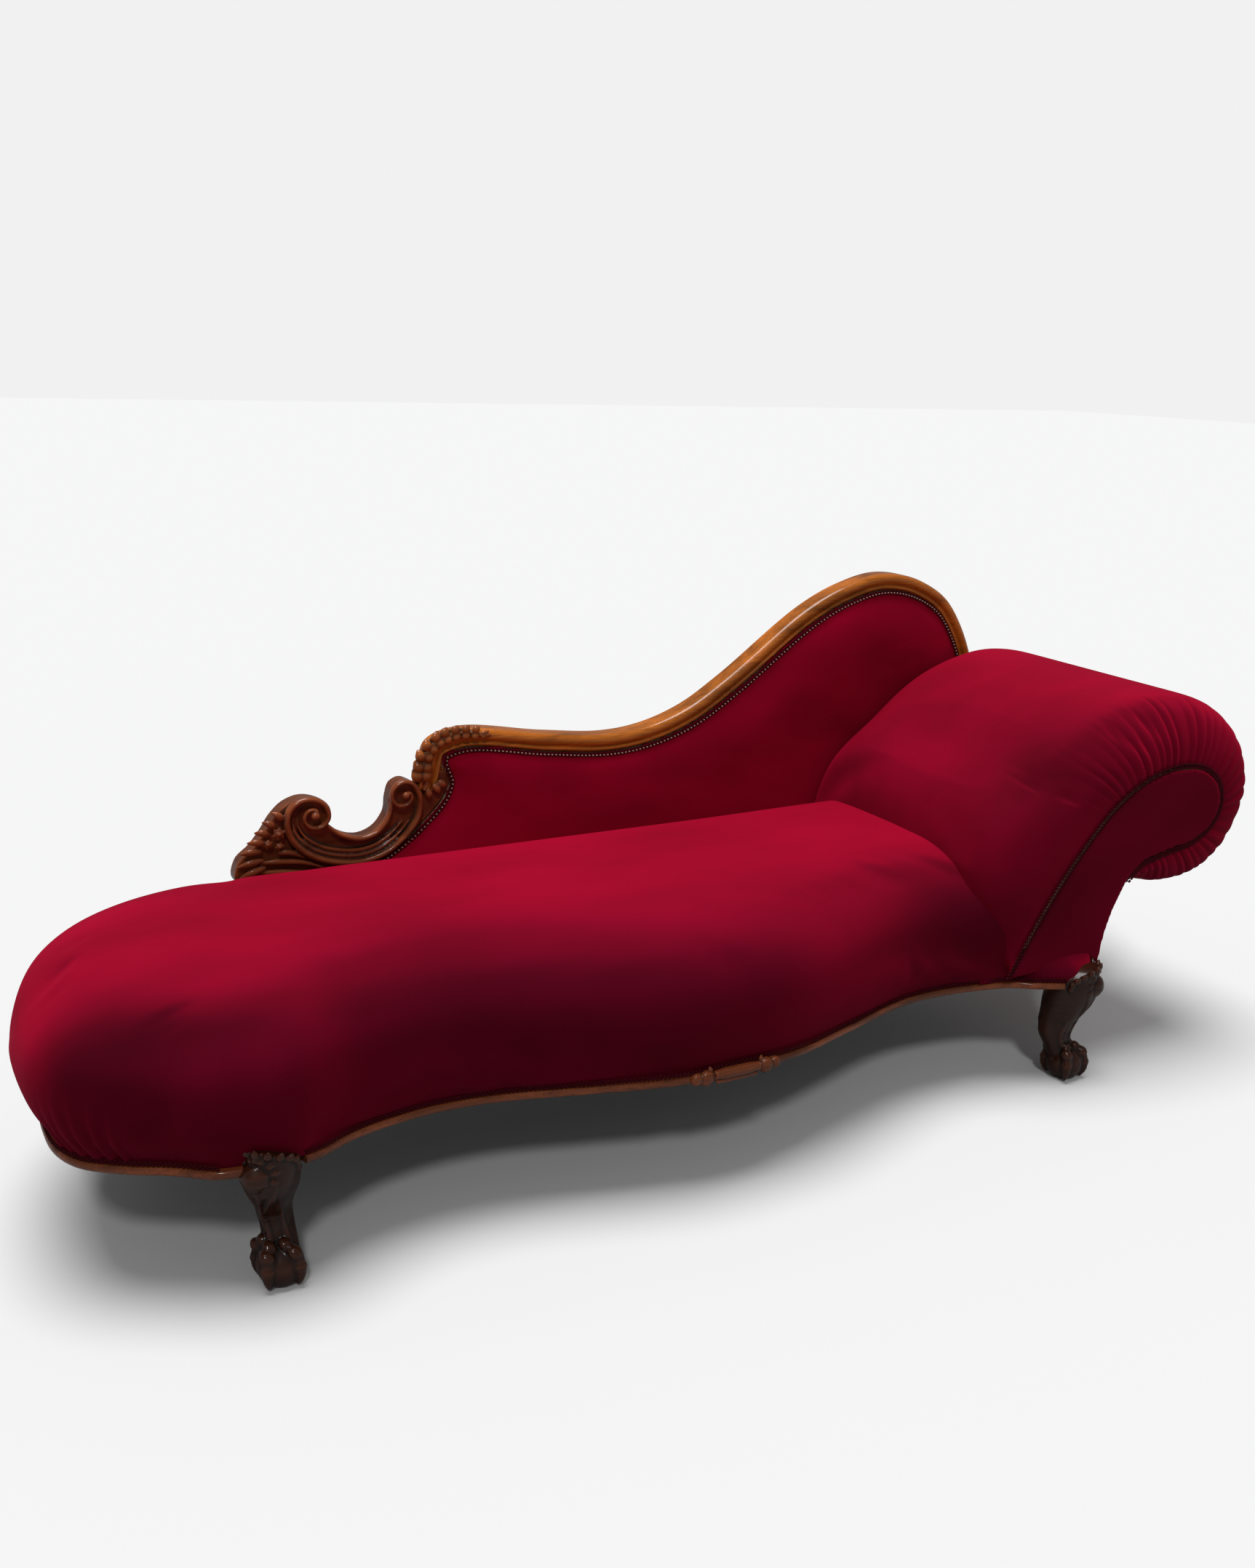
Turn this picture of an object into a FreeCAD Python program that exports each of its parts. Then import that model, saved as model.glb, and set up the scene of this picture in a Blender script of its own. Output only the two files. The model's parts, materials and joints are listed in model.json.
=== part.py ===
import FreeCAD, Part
import math
import os
from FreeCAD import Vector

# A carved show-wood fainting couch: a serpentine seat on four legs, a scrolled back that rises
# along its rear, and a rolled head end. Millimetres, +Z up, +X towards the head end, front at -Y.
# The solids are made about the middle of the legs and moved, when they are written, to the
# part's own origin: the middle of its footprint on the floor.

# Seat frame
FOOT_LEG_X = 706.0           # axes of the front feet, either side of the middle
HEAD_LEG_X = 722.0
LEG_FRONT_Y = 285.0          # axis of a front foot, in front of the middle
POST_SIDE = 58.0             # square top of each leg, which the rails are tenoned into
FOOT_POST_X = 692.0          # middle of the posts at the foot end
HEAD_POST_X = 743.0          # middle of the posts at the head end
FRONT_POST_Y = 249.0         # middle of the front posts, in front of the middle
REAR_FACE_Y = 312.0          # outer face of the rear posts and the rear rail
RAIL_BOTTOM = 190.0
RAIL_HEIGHT = 72.0
RAIL_THICK = 28.0
JOINT_GAP = 0.2              # glue line between two pieces of wood
SOFT_GAP = 0.4               # between upholstery and what it lies on

# Plan of the front: along from the middle, out from the middle, head half then foot half
HEAD_HALF_LINE = [(0.0, 334.0), (107.0, 329.0), (235.0, 292.0), (380.0, 248.0), (470.0, 243.0), (600.0, 266.0), (640.0, 290.0)]
FOOT_HALF_LINE = [(107.0, 334.0), (235.0, 303.0), (380.0, 265.0), (480.0, 258.0), (590.0, 278.0), (645.0, 305.0)]
KNEE_LINE = [(-36.0, 312.0), (-8.0, 322.0), (34.0, 318.0)]
RAIL_LINE = [(0.0, 321.0), (107.0, 316.0), (235.0, 279.0), (380.0, 238.0), (470.0, 231.0), (560.0, 240.0)]
RAIL_END_Y = 262.0           # outer face of the front rail where it meets a post
FOOT_RAIL_REAR_Y = 292.0     # outer face of the foot-end rail where it meets the rear post

# Plan of the foot end: beyond the front foot's axis, out from the middle, front then rear
FOOT_LINE = [(82.0, 303.0), (129.0, 270.0), (189.0, 236.0), (236.0, 198.0), (259.0, 150.0), (265.0, 80.0), (260.0, 0.0)]
FOOT_REAR_LINE = [(246.0, 75.0), (216.0, 152.0), (172.0, 216.0), (118.0, 264.0), (60.0, 296.0)]
FOOT_RAIL_INSET = 12.0

# Show-wood moulding under the upholstery
MOULD_BOTTOM = 183.0
MOULD_HEIGHT = 13.0          # the last of its levels: height, then how far its nose is rounded back
MOULD_DEPTH = 18.0
MOULD_LEVELS = [(0.0, 4.0), (3.4, 0.4), (9.6, 0.4), (13.0, 4.0)]
HEAD_MOULD_OUT = 12.0        # the head-end moulding, proud of its rail

# Carved block in the middle of the front moulding
BAR_MIDDLE_X = -12.0
BAR_LENGTH = 84.0
BAR_HEIGHT = 22.0
BAR_DEPTH = 11.0
KNOB_R = 11.0
KNOB_OFFSET = 50.0
LEAF_R = 7.5
LEAF_OFFSET = 66.0

# Bearers, blocks and tenons
BEARER_X = 236.0
BEARER_WIDTH = 40.0
BEARER_HEIGHT = 26.0
BLOCK_REACH = 60.0           # along the rail from the post
BLOCK_BACK = 28.0            # behind the post's corner
BLOCK_DEPTH = 34.0
BLOCK_HEIGHT = 44.0
BLOCK_RISE = 14.0
TENON_THICK = 9.0
TENON_LENGTH = 40.0
TENON_SHOULDER = 12.0        # from the rail's top and bottom to the tenon
HOLE_GAP = 0.15

# Front legs: height, then how far out along the diagonal the middle lies, half depth, half width
LEG_SECTIONS = [(34.0, -3.0, 27.0, 24.0), (60.0, -14.0, 24.0, 20.5), (84.0, -22.0, 27.0, 19.5), (106.0, -20.0, 32.0, 20.5),
                (130.0, -9.0, 38.0, 25.0), (152.0, 0.0, 44.0, 32.0), (168.0, 4.0, 45.0, 38.0), (182.0, 4.0, 43.0, 41.0)]
KNEE_BOTTOM = 182.0
KNEE_TOP = 221.0
KNEE_OUT = 4.0
KNEE_DEEP = 43.0
KNEE_WIDE = 41.0
POST_BOTTOM = 183.0
BALL_R = 33.0
BALL_OUT = 1.0
BALL_CENTRE_Z = 29.0
CLAW_R = 9.5
CLAW_STATIONS = [(0.45, 62.0, 0.8), (0.82, 55.0, 1.0), (1.03, 37.0, 0.85), (1.02, 18.0, 0.6), (0.86, 6.0, 0.4)]
CLAW_TURNS = [0.0, 82.0, -82.0, 180.0]
CLAW_SIDES = 6
BOSS_R = 11.0
BOSS_Z = 178.0
EAR_LENGTH = 20.0
EAR_R = 9.0
EAR_TIP_R = 3.0

# Rear legs: height, sweep to the rear, side of the square
REAR_LEG_SECTIONS = [(0.0, 50.0, 34.0), (60.0, 23.0, 37.0), (125.0, 5.0, 45.0)]
REAR_LEG_SIDE = 50.0

# Webbing, springs and linings under the seat
WEB_WIDTH = 50.0
WEB_THICK = 1.4
WEB_LONG_Y = [-150.0, -75.0, 0.0, 75.0, 150.0]
WEB_CROSS_PITCH = 112.0
WEB_CROSS_COUNT = 11
WEB_CROSS_MIDDLE = -70.0
SPRING_ROWS_Y = [-120.0, 120.0]
SPRING_X = [-780.0, -560.0, -360.0, -118.0, 118.0, 360.0]
SPRING_R = 38.0
SPRING_WAIST_R = 24.0
SPRING_WIRE = 3.6
SPRING_TURNS = 3
SPRING_STEPS = 6
SPRING_HEIGHT = 132.0
HESSIAN_THICK = 1.6
DUST_THICK = 1.0
WEB_INSET = 9.0              # in from the rails' outer faces, inside the mouldings
CLOTH_INSET = 20.0

# Seat upholstery: height, then how far its front, its foot end and its held rear stand from the
# seat's spine, as shares of the plan
SEAT_LEVELS = [(205.0, 0.98, 0.98, 1.0), (236.0, 1.03, 1.05, 1.0), (296.0, 1.055, 1.095, 1.0), (338.0, 1.02, 1.075, 1.0),
               (368.0, 0.92, 0.98, 1.0), (390.0, 0.75, 0.81, 0.93), (405.0, 0.42, 0.44, 0.64)]
SPINE_FOOT_X = -650.0
SPINE_HEAD_X = 560.0
SEAT_REAR_Y = 266.0          # where the seat meets the back
SEAT_FREE_REAR_Y = 318.0     # behind it the foot end is free and comes out over the rail
BACK_FOOT_X = -604.0         # tip of the back's carved foot
SEAT_HEAD_X = 662.0          # the seat runs in under the head end
GIMP_WIDTH = 8.0
GIMP_THICK = 2.6

# Back, drawn in the plane of the rear: along, up
BACK_WOOD_FRONT = 276.0
BACK_WOOD_REAR = 316.0
BACK_WOOD_WIDTH = 31.0
BACK_WOOD_LEVELS = [(0.0, 9.0), (3.0, 3.0), (10.0, 0.0), (40.0, 0.0)]
BACK_LINE = [(-276.0, 532.0), (-262.0, 576.0), (-203.0, 596.0), (-38.0, 574.0), (83.0, 562.0), (165.0, 570.0),
             (250.0, 598.0), (334.0, 648.0), (506.0, 769.0), (598.0, 811.0), (690.0, 830.0), (786.0, 811.0),
             (868.0, 755.0), (942.0, 590.0), (892.0, 400.0), (822.0, 262.0)]
SCROLL_LOW_LINE = [(-604.0, 372.0), (-500.0, 364.0), (-420.0, 366.0), (-352.0, 386.0), (-280.0, 436.0), (-238.0, 482.0), (-226.0, 520.0)]
SCROLL_TOP_LINE = [(-276.0, 531.6), (-281.0, 515.0), (-285.0, 500.0)]
SCROLL_THROAT = [(-300.0, 480.0), (-318.0, 448.0), (-347.0, 422.0), (-387.0, 410.0), (-420.0, 420.0), (-440.0, 446.0)]
SCROLL_LEAF = [(-470.0, 488.0), (-508.0, 494.0), (-540.0, 470.0), (-568.0, 424.0), (-604.0, 392.0)]
BIG_VOLUTE = (-470.0, 465.0, 27.0)
SMALL_VOLUTE = (-300.0, 481.0, 21.0)
VOLUTE_EYE_R = 11.0
VOLUTE_PROUD = 6.0
BACK_RAIL_TOP = 308.0
BACK_POST_WIDTH = 34.0
BACK_POSTS_X = [-190.0, 130.0, 450.0, 770.0]
BACK_FRAME_FRONT = 291.0     # face of the back's rail and posts, behind the webbing
BACK_PAD_LEVELS = [(288.0, 0.0), (279.6, -0.5), (279.0, -9.5), (271.5, -18.0), (267.0, -36.0)]
BACK_COVER_THICK = 2.0

# Head end, drawn in the plane of the front: each point of the gimp line round the facing,
# with the point of the cushion's full outline that the velvet is gathered down from
HEAD_LINES = [((578.0, 214.0), (600.0, 214.0)), ((642.0, 322.0), (520.0, 345.0)), ((709.0, 414.0), (546.0, 462.0)),
              ((780.0, 491.0), (653.0, 558.0)), ((830.0, 526.0), (748.0, 627.0)), ((885.0, 548.0), (836.0, 662.0)),
              ((945.0, 556.0), (930.0, 677.0)), ((1002.0, 545.0), (1042.0, 655.0)), ((1040.0, 516.0), (1122.0, 596.0)),
              ((1053.0, 475.0), (1162.0, 505.0)), ((1036.0, 436.0), (1140.0, 406.0)), ((993.0, 409.0), (1076.0, 338.0)),
              ((924.0, 396.0), (985.0, 318.0)), ((866.0, 380.0), (900.0, 334.0)), ((838.0, 356.0), (846.0, 346.0))]
HEAD_BACK_LINE = [(838.0, 356.0), (812.0, 312.0), (796.0, 262.0), (789.0, 214.0)]
HEAD_FRONT_Y = -282.0        # face of the facing
HEAD_REAR_Y = 262.0
HEAD_EDGE = [(0.0, 0.0), (6.0, 0.5), (22.0, 0.82), (58.0, 1.0)]
HEAD_REAR_EDGE = [(28.0, 1.0), (8.0, 0.9), (0.0, 0.72)]
FACING_THICK = 3.0
BOARD_THICK = 26.0
CORE_INSET = 4.0             # frame inside the gimp line
ROLL_BAR_R = 27.0
ROLL_BAR_AT = (974.0, 478.0)
SLAT_WIDTH = 30.0
SLAT_THICK = 16.0
SLATS_AT = [(650.0, 294.0), (718.0, 393.0), (806.0, 481.0)]
LINING_THICK = 1.6
OUTSIDE_THICK = 2.5


def unit(a, b):
    length = math.hypot(b[0] - a[0], b[1] - a[1])
    return ((b[0] - a[0]) / length, (b[1] - a[1]) / length)


def tangents(points, closed):
    """Direction of a smooth line at each of its points."""
    count = len(points)
    result = []
    for i in range(count):
        before = points[i - 1] if closed or i > 0 else None
        after = points[(i + 1) % count] if closed or i < count - 1 else None
        if before and after:
            back = math.hypot(points[i][0] - before[0], points[i][1] - before[1])
            ahead = math.hypot(after[0] - points[i][0], after[1] - points[i][1])
            u, v = unit(before, points[i]), unit(points[i], after)
            result.append(unit((0, 0), (u[0] * ahead + v[0] * back, u[1] * ahead + v[1] * back)))
        else:
            result.append(None)
    if not closed:
        for end, near in ((0, 1), (count - 1, count - 2)):
            chord = unit(points[min(end, near)], points[max(end, near)])
            known = result[near] or chord
            along = known[0] * chord[0] + known[1] * chord[1]
            result[end] = (2 * along * chord[0] - known[0], 2 * along * chord[1] - known[1])
    return result


def arc_edge(start, direction, end, place):
    """Arc from start to end that leaves start in the given direction."""
    chord = unit(start, end)
    length = math.hypot(end[0] - start[0], end[1] - start[1])
    turn = math.atan2(direction[0] * chord[1] - direction[1] * chord[0], direction[0] * chord[0] + direction[1] * chord[1])
    if abs(turn) < 0.002:
        return Part.LineSegment(place(*start), place(*end)).toShape()
    rise = 0.5 * length * math.tan(0.5 * turn)
    middle = (0.5 * (start[0] + end[0]) + rise * chord[1], 0.5 * (start[1] + end[1]) - rise * chord[0])
    return Part.Arc(place(*start), place(*middle), place(*end)).toShape()


def smooth(points, place, closed=False, directions=None):
    """Edges of a line through the points, each span two arcs that meet without a corner."""
    ways = directions or tangents(points, closed)
    edges = []
    for i in range(len(points) if closed else len(points) - 1):
        j = (i + 1) % len(points)
        start, end, first, last = points[i], points[j], ways[i], ways[j]
        across = (end[0] - start[0], end[1] - start[1])
        total = (first[0] + last[0], first[1] + last[1])
        spread = 2.0 * (1.0 - first[0] * last[0] - first[1] * last[1])
        reach = across[0] * total[0] + across[1] * total[1]
        square = across[0] ** 2 + across[1] ** 2
        if spread < 1e-6:
            arm = square / (2.0 * reach)
        else:
            arm = (math.sqrt(reach ** 2 + spread * square) - reach) / spread
        middle = (0.5 * (start[0] + end[0] + arm * (first[0] - last[0])), 0.5 * (start[1] + end[1] + arm * (first[1] - last[1])))
        edges.append(arc_edge(start, first, middle, place))
        way = unit(start, middle)
        along = first[0] * way[0] + first[1] * way[1]
        turned = (2 * along * way[0] - first[0], 2 * along * way[1] - first[1])
        edges.append(arc_edge(middle, turned, end, place))
    return edges


def moved_out(points, distances, closed=False):
    """Points moved to the right of a line's direction."""
    ways = tangents(points, closed)
    return [(p[0] + d * w[1], p[1] - d * w[0]) for p, w, d in zip(points, ways, distances)]


def line(a, b, place):
    return Part.LineSegment(place(*a), place(*b)).toShape()


def at_height(z):
    return lambda x, y: Vector(x, y, z)


def at_depth(y):
    return lambda x, z: Vector(x, y, z)


def loop(runs, place):
    """Closed wire of smooth runs joined by straight lines."""
    edges = []
    for i, run in enumerate(runs):
        if len(run) > 1:
            edges += smooth(run, place)
        ahead = runs[(i + 1) % len(runs)][0]
        if math.hypot(run[-1][0] - ahead[0], run[-1][1] - ahead[1]) > 1e-6:
            edges.append(line(run[-1], ahead, place))
    return Part.Wire(edges)


def plan_slab(runs, bottom, height):
    return Part.Face(loop(runs, at_height(bottom))).extrude(Vector(0, 0, height))


def wall_slab(runs, front, thickness):
    return Part.Face(loop(runs, at_depth(front))).extrude(Vector(0, thickness, 0))


def box(x0, x1, y0, y1, z0, z1):
    return Part.makeBox(x1 - x0, y1 - y0, z1 - z0, Vector(x0, y0, z0))


def rounded(shape, radius, chosen):
    """Shape with the chosen edges rounded."""
    edges = [edge for edge in shape.Edges if chosen(edge)]
    return shape.makeFillet(radius, edges)


def largest(shape):
    return max(shape.Solids, key=lambda solid: solid.Volume)


def across_front(head_half, foot_half):
    """A line across the front from the foot end to the head end, from its two halves."""
    foot = [(-x, -y) for x, y in reversed(foot_half)]
    return foot + [(x, -y) for x, y in head_half]


def front_points(out=0.0):
    """Outer line of the front moulding, from knee to knee."""
    head_knee = (HEAD_LEG_X + KNEE_LINE[0][0], KNEE_LINE[0][1])
    foot_knee = (FOOT_LEG_X + KNEE_LINE[0][0], KNEE_LINE[0][1])
    points = across_front(HEAD_HALF_LINE + [head_knee], FOOT_HALF_LINE + [foot_knee])
    return moved_out(points, [out] * len(points))


def foot_points(out=0.0, skip=0):
    """Outer line of the foot-end moulding, round from its rear to its front."""
    rear = [(-FOOT_LEG_X - x, y) for x, y in reversed(FOOT_REAR_LINE)]
    front = [(-FOOT_LEG_X - x, -y) for x, y in reversed(FOOT_LINE)]
    points = rear + front
    points = moved_out(points, [out] * len(points))
    return points[skip:len(points) - skip]


def rail_points(out=0.0):
    """Outer line of the front rail, between the posts."""
    points = across_front(RAIL_LINE, RAIL_LINE[1:])
    points = [(-FOOT_POST_X + 0.5 * POST_SIDE, -RAIL_END_Y)] + points + [(HEAD_POST_X - 0.5 * POST_SIDE, -RAIL_END_Y)]
    return moved_out(points, [out] * len(points))


def posts(grow):
    """The four square posts, grown all round."""
    half = 0.5 * POST_SIDE + grow
    rear = REAR_FACE_Y - 0.5 * POST_SIDE
    boxes = []
    for x in (-FOOT_POST_X, HEAD_POST_X):
        for y in (-FRONT_POST_Y, rear):
            boxes.append(box(x - half, x + half, y - half, y + half, POST_BOTTOM - 1.0, RAIL_BOTTOM + RAIL_HEIGHT + 1.0))
    return boxes[0].fuse(boxes[1:])


def inside_frame(inset, bottom, height):
    """Slab over the seat's opening, drawn in from the outer faces of the rails."""
    front = rail_points(-inset)
    foot = foot_points(-FOOT_RAIL_INSET - inset, 1)
    head = HEAD_POST_X + 0.5 * POST_SIDE - inset
    rear = REAR_FACE_Y - inset
    near = -FOOT_POST_X - 0.5 * POST_SIDE
    joints = [[(near, -RAIL_END_Y + inset)], [(head, front[-1][1])], [(head, rear)], [(near, rear)], [(near, FOOT_RAIL_REAR_Y - inset)]]
    return plan_slab([foot, joints[0], front] + joints[1:], bottom, height)


def tenon_places():
    """Each joint of a rail with a post: middle of the joint and the way that its tenon runs."""
    half = 0.5 * POST_SIDE
    end_y = -RAIL_END_Y + 0.5 * RAIL_THICK
    rear_y = REAR_FACE_Y - 0.5 * RAIL_THICK
    head_x = HEAD_POST_X + half - 0.5 * RAIL_THICK
    return [((-FOOT_POST_X + half, end_y), (1, 0)), ((HEAD_POST_X - half, end_y), (1, 0)), ((-FOOT_POST_X - half, end_y), (1, 0)),
            ((-FOOT_POST_X + half, rear_y), (1, 0)), ((HEAD_POST_X - half, rear_y), (1, 0)),
            ((-FOOT_POST_X - half, FOOT_RAIL_REAR_Y - 0.5 * RAIL_THICK), (1, 0)),
            ((head_x, -FRONT_POST_Y + half), (0, 1)), ((head_x, REAR_FACE_Y - POST_SIDE), (0, 1))]


def tenons(grow=0.0):
    """Loose tenons let into the rails and the posts."""
    shapes = []
    reach = 0.5 * TENON_LENGTH + grow
    side = 0.5 * TENON_THICK + grow
    low = RAIL_BOTTOM + TENON_SHOULDER - grow
    high = RAIL_BOTTOM + RAIL_HEIGHT - TENON_SHOULDER + grow
    for (x, y), (dx, dy) in tenon_places():
        wide, deep = (reach, side) if dx else (side, reach)
        shapes.append(box(x - wide, x + wide, y - deep, y + deep, low, high))
    return shapes


def front_seat_rail():
    outer, inner = rail_points(), rail_points(-RAIL_THICK)
    rail = plan_slab([outer, list(reversed(inner))], RAIL_BOTTOM, RAIL_HEIGHT)
    return largest(rail.cut(posts(JOINT_GAP)).cut(tenons(HOLE_GAP)))


def foot_rail_slab(grow=0.0):
    """The foot end's bent rail before its joints are cut."""
    outer = foot_points(-FOOT_RAIL_INSET + grow, 1)
    inner = foot_points(-FOOT_RAIL_INSET - RAIL_THICK - grow, 1)
    near = -FOOT_POST_X - 0.5 * POST_SIDE
    front = [(near, -RAIL_END_Y - grow), (near, -RAIL_END_Y + RAIL_THICK + grow)]
    rear = [(near, FOOT_RAIL_REAR_Y - RAIL_THICK - grow), (near, FOOT_RAIL_REAR_Y + grow)]
    runs = [outer, [front[0]], [front[1]], list(reversed(inner)), [rear[0]], [rear[1]]]
    return plan_slab(runs, RAIL_BOTTOM - grow, RAIL_HEIGHT + 2 * grow)


def foot_end_rail():
    return largest(foot_rail_slab().cut(posts(JOINT_GAP)).cut(tenons(HOLE_GAP)))


def rear_seat_rail():
    half = 0.5 * POST_SIDE + JOINT_GAP
    rail = box(-FOOT_POST_X + half, HEAD_POST_X - half, REAR_FACE_Y - RAIL_THICK, REAR_FACE_Y,
               RAIL_BOTTOM, RAIL_BOTTOM + RAIL_HEIGHT)
    return largest(rail.cut(tenons(HOLE_GAP)))


def head_end_rail():
    face = HEAD_POST_X + 0.5 * POST_SIDE
    near = -FRONT_POST_Y + 0.5 * POST_SIDE + JOINT_GAP
    far = REAR_FACE_Y - POST_SIDE - JOINT_GAP
    rail = box(face - RAIL_THICK, face, near, far, RAIL_BOTTOM, RAIL_BOTTOM + RAIL_HEIGHT)
    return largest(rail.cut(tenons(HOLE_GAP)))


def seat_bearers():
    inside = inside_frame(RAIL_THICK + JOINT_GAP, RAIL_BOTTOM, BEARER_HEIGHT)
    shapes = []
    for x in (-BEARER_X, BEARER_X):
        bar = box(x - 0.5 * BEARER_WIDTH, x + 0.5 * BEARER_WIDTH, -400.0, 400.0, RAIL_BOTTOM, RAIL_BOTTOM + BEARER_HEIGHT)
        shapes.append(largest(bar.common(inside)))
    return shapes


def corner_blocks():
    """Blocks glued round the inner corner of each post and to the rail beside it."""
    half = 0.5 * POST_SIDE + JOINT_GAP
    bottom = RAIL_BOTTOM + BLOCK_RISE
    rail = plan_slab([rail_points(), list(reversed(rail_points(-RAIL_THICK - JOINT_GAP)))], bottom, BLOCK_HEIGHT)
    shapes = []
    for x, way_x in ((-FOOT_POST_X, 1), (HEAD_POST_X, -1)):
        front = (-FRONT_POST_Y, -RAIL_END_Y + RAIL_THICK + JOINT_GAP, 1)
        rear = (REAR_FACE_Y - 0.5 * POST_SIDE, REAR_FACE_Y - RAIL_THICK - JOINT_GAP, -1)
        for y, rail_y, way_y in (front, rear):
            corner_x, corner_y = x + way_x * half, y + way_y * half
            deep_y = corner_y + way_y * BLOCK_DEPTH
            corners = [(corner_x, rail_y), (corner_x + way_x * BLOCK_REACH, rail_y), (corner_x, deep_y),
                       (corner_x - way_x * BLOCK_BACK, deep_y), (corner_x - way_x * BLOCK_BACK, corner_y), (corner_x, corner_y)]
            block = plan_slab([[corner] for corner in corners], bottom, BLOCK_HEIGHT)
            shapes.append(largest(block.cut(rail)))
    return shapes


def moulding(points):
    """Round-nosed moulding along a line."""
    wires = []
    for rise, back in MOULD_LEVELS:
        outer = moved_out(points, [-back] * len(points))
        inner = moved_out(points, [-MOULD_DEPTH] * len(points))
        wires.append(loop([outer, list(reversed(inner))], at_height(MOULD_BOTTOM + rise)))
    return Part.makeLoft(wires, True, True)


def knee_cut():
    """Room for the two carved knees."""
    return knee_cap(-1, SOFT_GAP).fuse(knee_cap(1, SOFT_GAP))


def front_rail_moulding():
    return largest(moulding(front_points()).cut(knee_cut()).cut(front_seat_rail_space()))


def front_seat_rail_space():
    outer, inner = rail_points(JOINT_GAP), rail_points(-RAIL_THICK - 30.0)
    return plan_slab([outer, list(reversed(inner))], RAIL_BOTTOM - JOINT_GAP, RAIL_HEIGHT).fuse(posts(JOINT_GAP))


def foot_end_moulding():
    band = moulding(foot_mould_points())
    return largest(band.cut(knee_cut()).cut(foot_rail_space()).cut(rear_leg_space(-FOOT_POST_X)))


def foot_mould_points():
    """Outer line of the foot-end moulding, from the rear leg to the front knee."""
    knee = (-FOOT_LEG_X + KNEE_LINE[0][0], -KNEE_LINE[0][1])
    return [(-FOOT_POST_X - 0.4 * POST_SIDE, REAR_FACE_Y + 2.0)] + foot_points() + [knee]


def foot_rail_space():
    outer = foot_points(-FOOT_RAIL_INSET + JOINT_GAP, 1)
    near = -FOOT_POST_X - 0.5 * POST_SIDE
    runs = [outer, [(near, -RAIL_END_Y - JOINT_GAP)], [(near, FOOT_RAIL_REAR_Y + JOINT_GAP)]]
    return plan_slab(runs, RAIL_BOTTOM - JOINT_GAP, RAIL_HEIGHT).fuse(posts(JOINT_GAP))


def head_end_moulding():
    """Straight moulding along the head-end rail, from the knee to the rear leg."""
    face = HEAD_POST_X + 0.5 * POST_SIDE + HEAD_MOULD_OUT
    line_y = (-FRONT_POST_Y, REAR_FACE_Y - 0.5 * POST_SIDE)
    wires = []
    for rise, back in MOULD_LEVELS:
        inner = face - MOULD_DEPTH
        corners = [(face - back, line_y[0]), (face - back, line_y[1]), (inner, line_y[1]), (inner, line_y[0])]
        wires.append(loop([[corner] for corner in corners], at_height(MOULD_BOTTOM + rise)))
    band = Part.makeLoft(wires, True, True)
    rail_face = HEAD_POST_X + 0.5 * POST_SIDE + JOINT_GAP
    rail = box(rail_face - RAIL_THICK, rail_face, -400.0, 400.0, RAIL_BOTTOM - JOINT_GAP, RAIL_BOTTOM + RAIL_HEIGHT)
    return largest(band.cut(knee_cut()).cut(rail).cut(posts(JOINT_GAP)).cut(rear_leg_space(HEAD_POST_X)))


def rear_leg_space(post_x):
    """Room for the top of a rear leg."""
    y = REAR_FACE_Y - 0.5 * POST_SIDE
    half = 0.5 * POST_SIDE + JOINT_GAP
    return box(post_x - half, post_x + half, y - half, y + half, MOULD_BOTTOM - 20.0, RAIL_BOTTOM + RAIL_HEIGHT)


def centre_carving():
    """Bar with a bead under it between pairs of leaf knobs, on the front moulding."""
    front = -HEAD_HALF_LINE[0][1]
    middle = MOULD_BOTTOM + 0.5 * MOULD_HEIGHT
    bar = box(-0.5 * BAR_LENGTH, 0.5 * BAR_LENGTH, front - BAR_DEPTH, front - 1.0,
              middle - 0.5 * BAR_HEIGHT, middle + 0.5 * BAR_HEIGHT)
    bar = rounded(bar, 4.0, lambda e: abs(e.Vertexes[0].Y - front + BAR_DEPTH) < 0.01 and abs(e.Vertexes[1].Y - front + BAR_DEPTH) < 0.01)
    pieces = []
    for side in (-1, 1):
        knob = Part.makeSphere(KNOB_R, Vector(side * KNOB_OFFSET, front - 1.0, middle))
        leaf = Part.makeSphere(LEAF_R, Vector(side * LEAF_OFFSET, front + 1.0, middle))
        pieces += [knob, leaf]
    carving = bar.fuse(pieces)
    carving.translate(Vector(BAR_MIDDLE_X, 0, 0))
    band = plan_slab([front_points(JOINT_GAP), list(reversed(front_points(-60.0)))], MOULD_BOTTOM - 30.0, 80.0)
    return largest(carving.cut(band).removeSplitter())


def diagonal(side, out, across=0.0):
    """Point of a front leg: out along its diagonal, and across it."""
    x, y = side * math.sqrt(0.5), -math.sqrt(0.5)
    axis = HEAD_LEG_X if side > 0 else -FOOT_LEG_X
    return axis + out * x - across * y, -LEG_FRONT_Y + out * y + across * x


def leg_ring(side, z, out, deep, wide):
    """Oval round a leg, long way along the diagonal, as four arcs."""
    corners = []
    for angle in range(0, 360, 45):
        u = deep * math.cos(math.radians(angle))
        v = wide * math.sin(math.radians(angle))
        corners.append(Vector(*diagonal(side, out + u, v), z))
    corners.append(corners[0])
    arcs = [Part.Arc(corners[i], corners[i + 1], corners[i + 2]).toShape() for i in range(0, 8, 2)]
    return Part.Wire(arcs)


def knee_cap(side, grow=0.0):
    """Oval top of the knee, upright, which the mouldings run into."""
    ring = leg_ring(side, KNEE_BOTTOM - grow, KNEE_OUT, KNEE_DEEP + grow, KNEE_WIDE + grow)
    return Part.Face(ring).extrude(Vector(0, 0, KNEE_TOP - KNEE_BOTTOM + 2 * grow))


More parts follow.
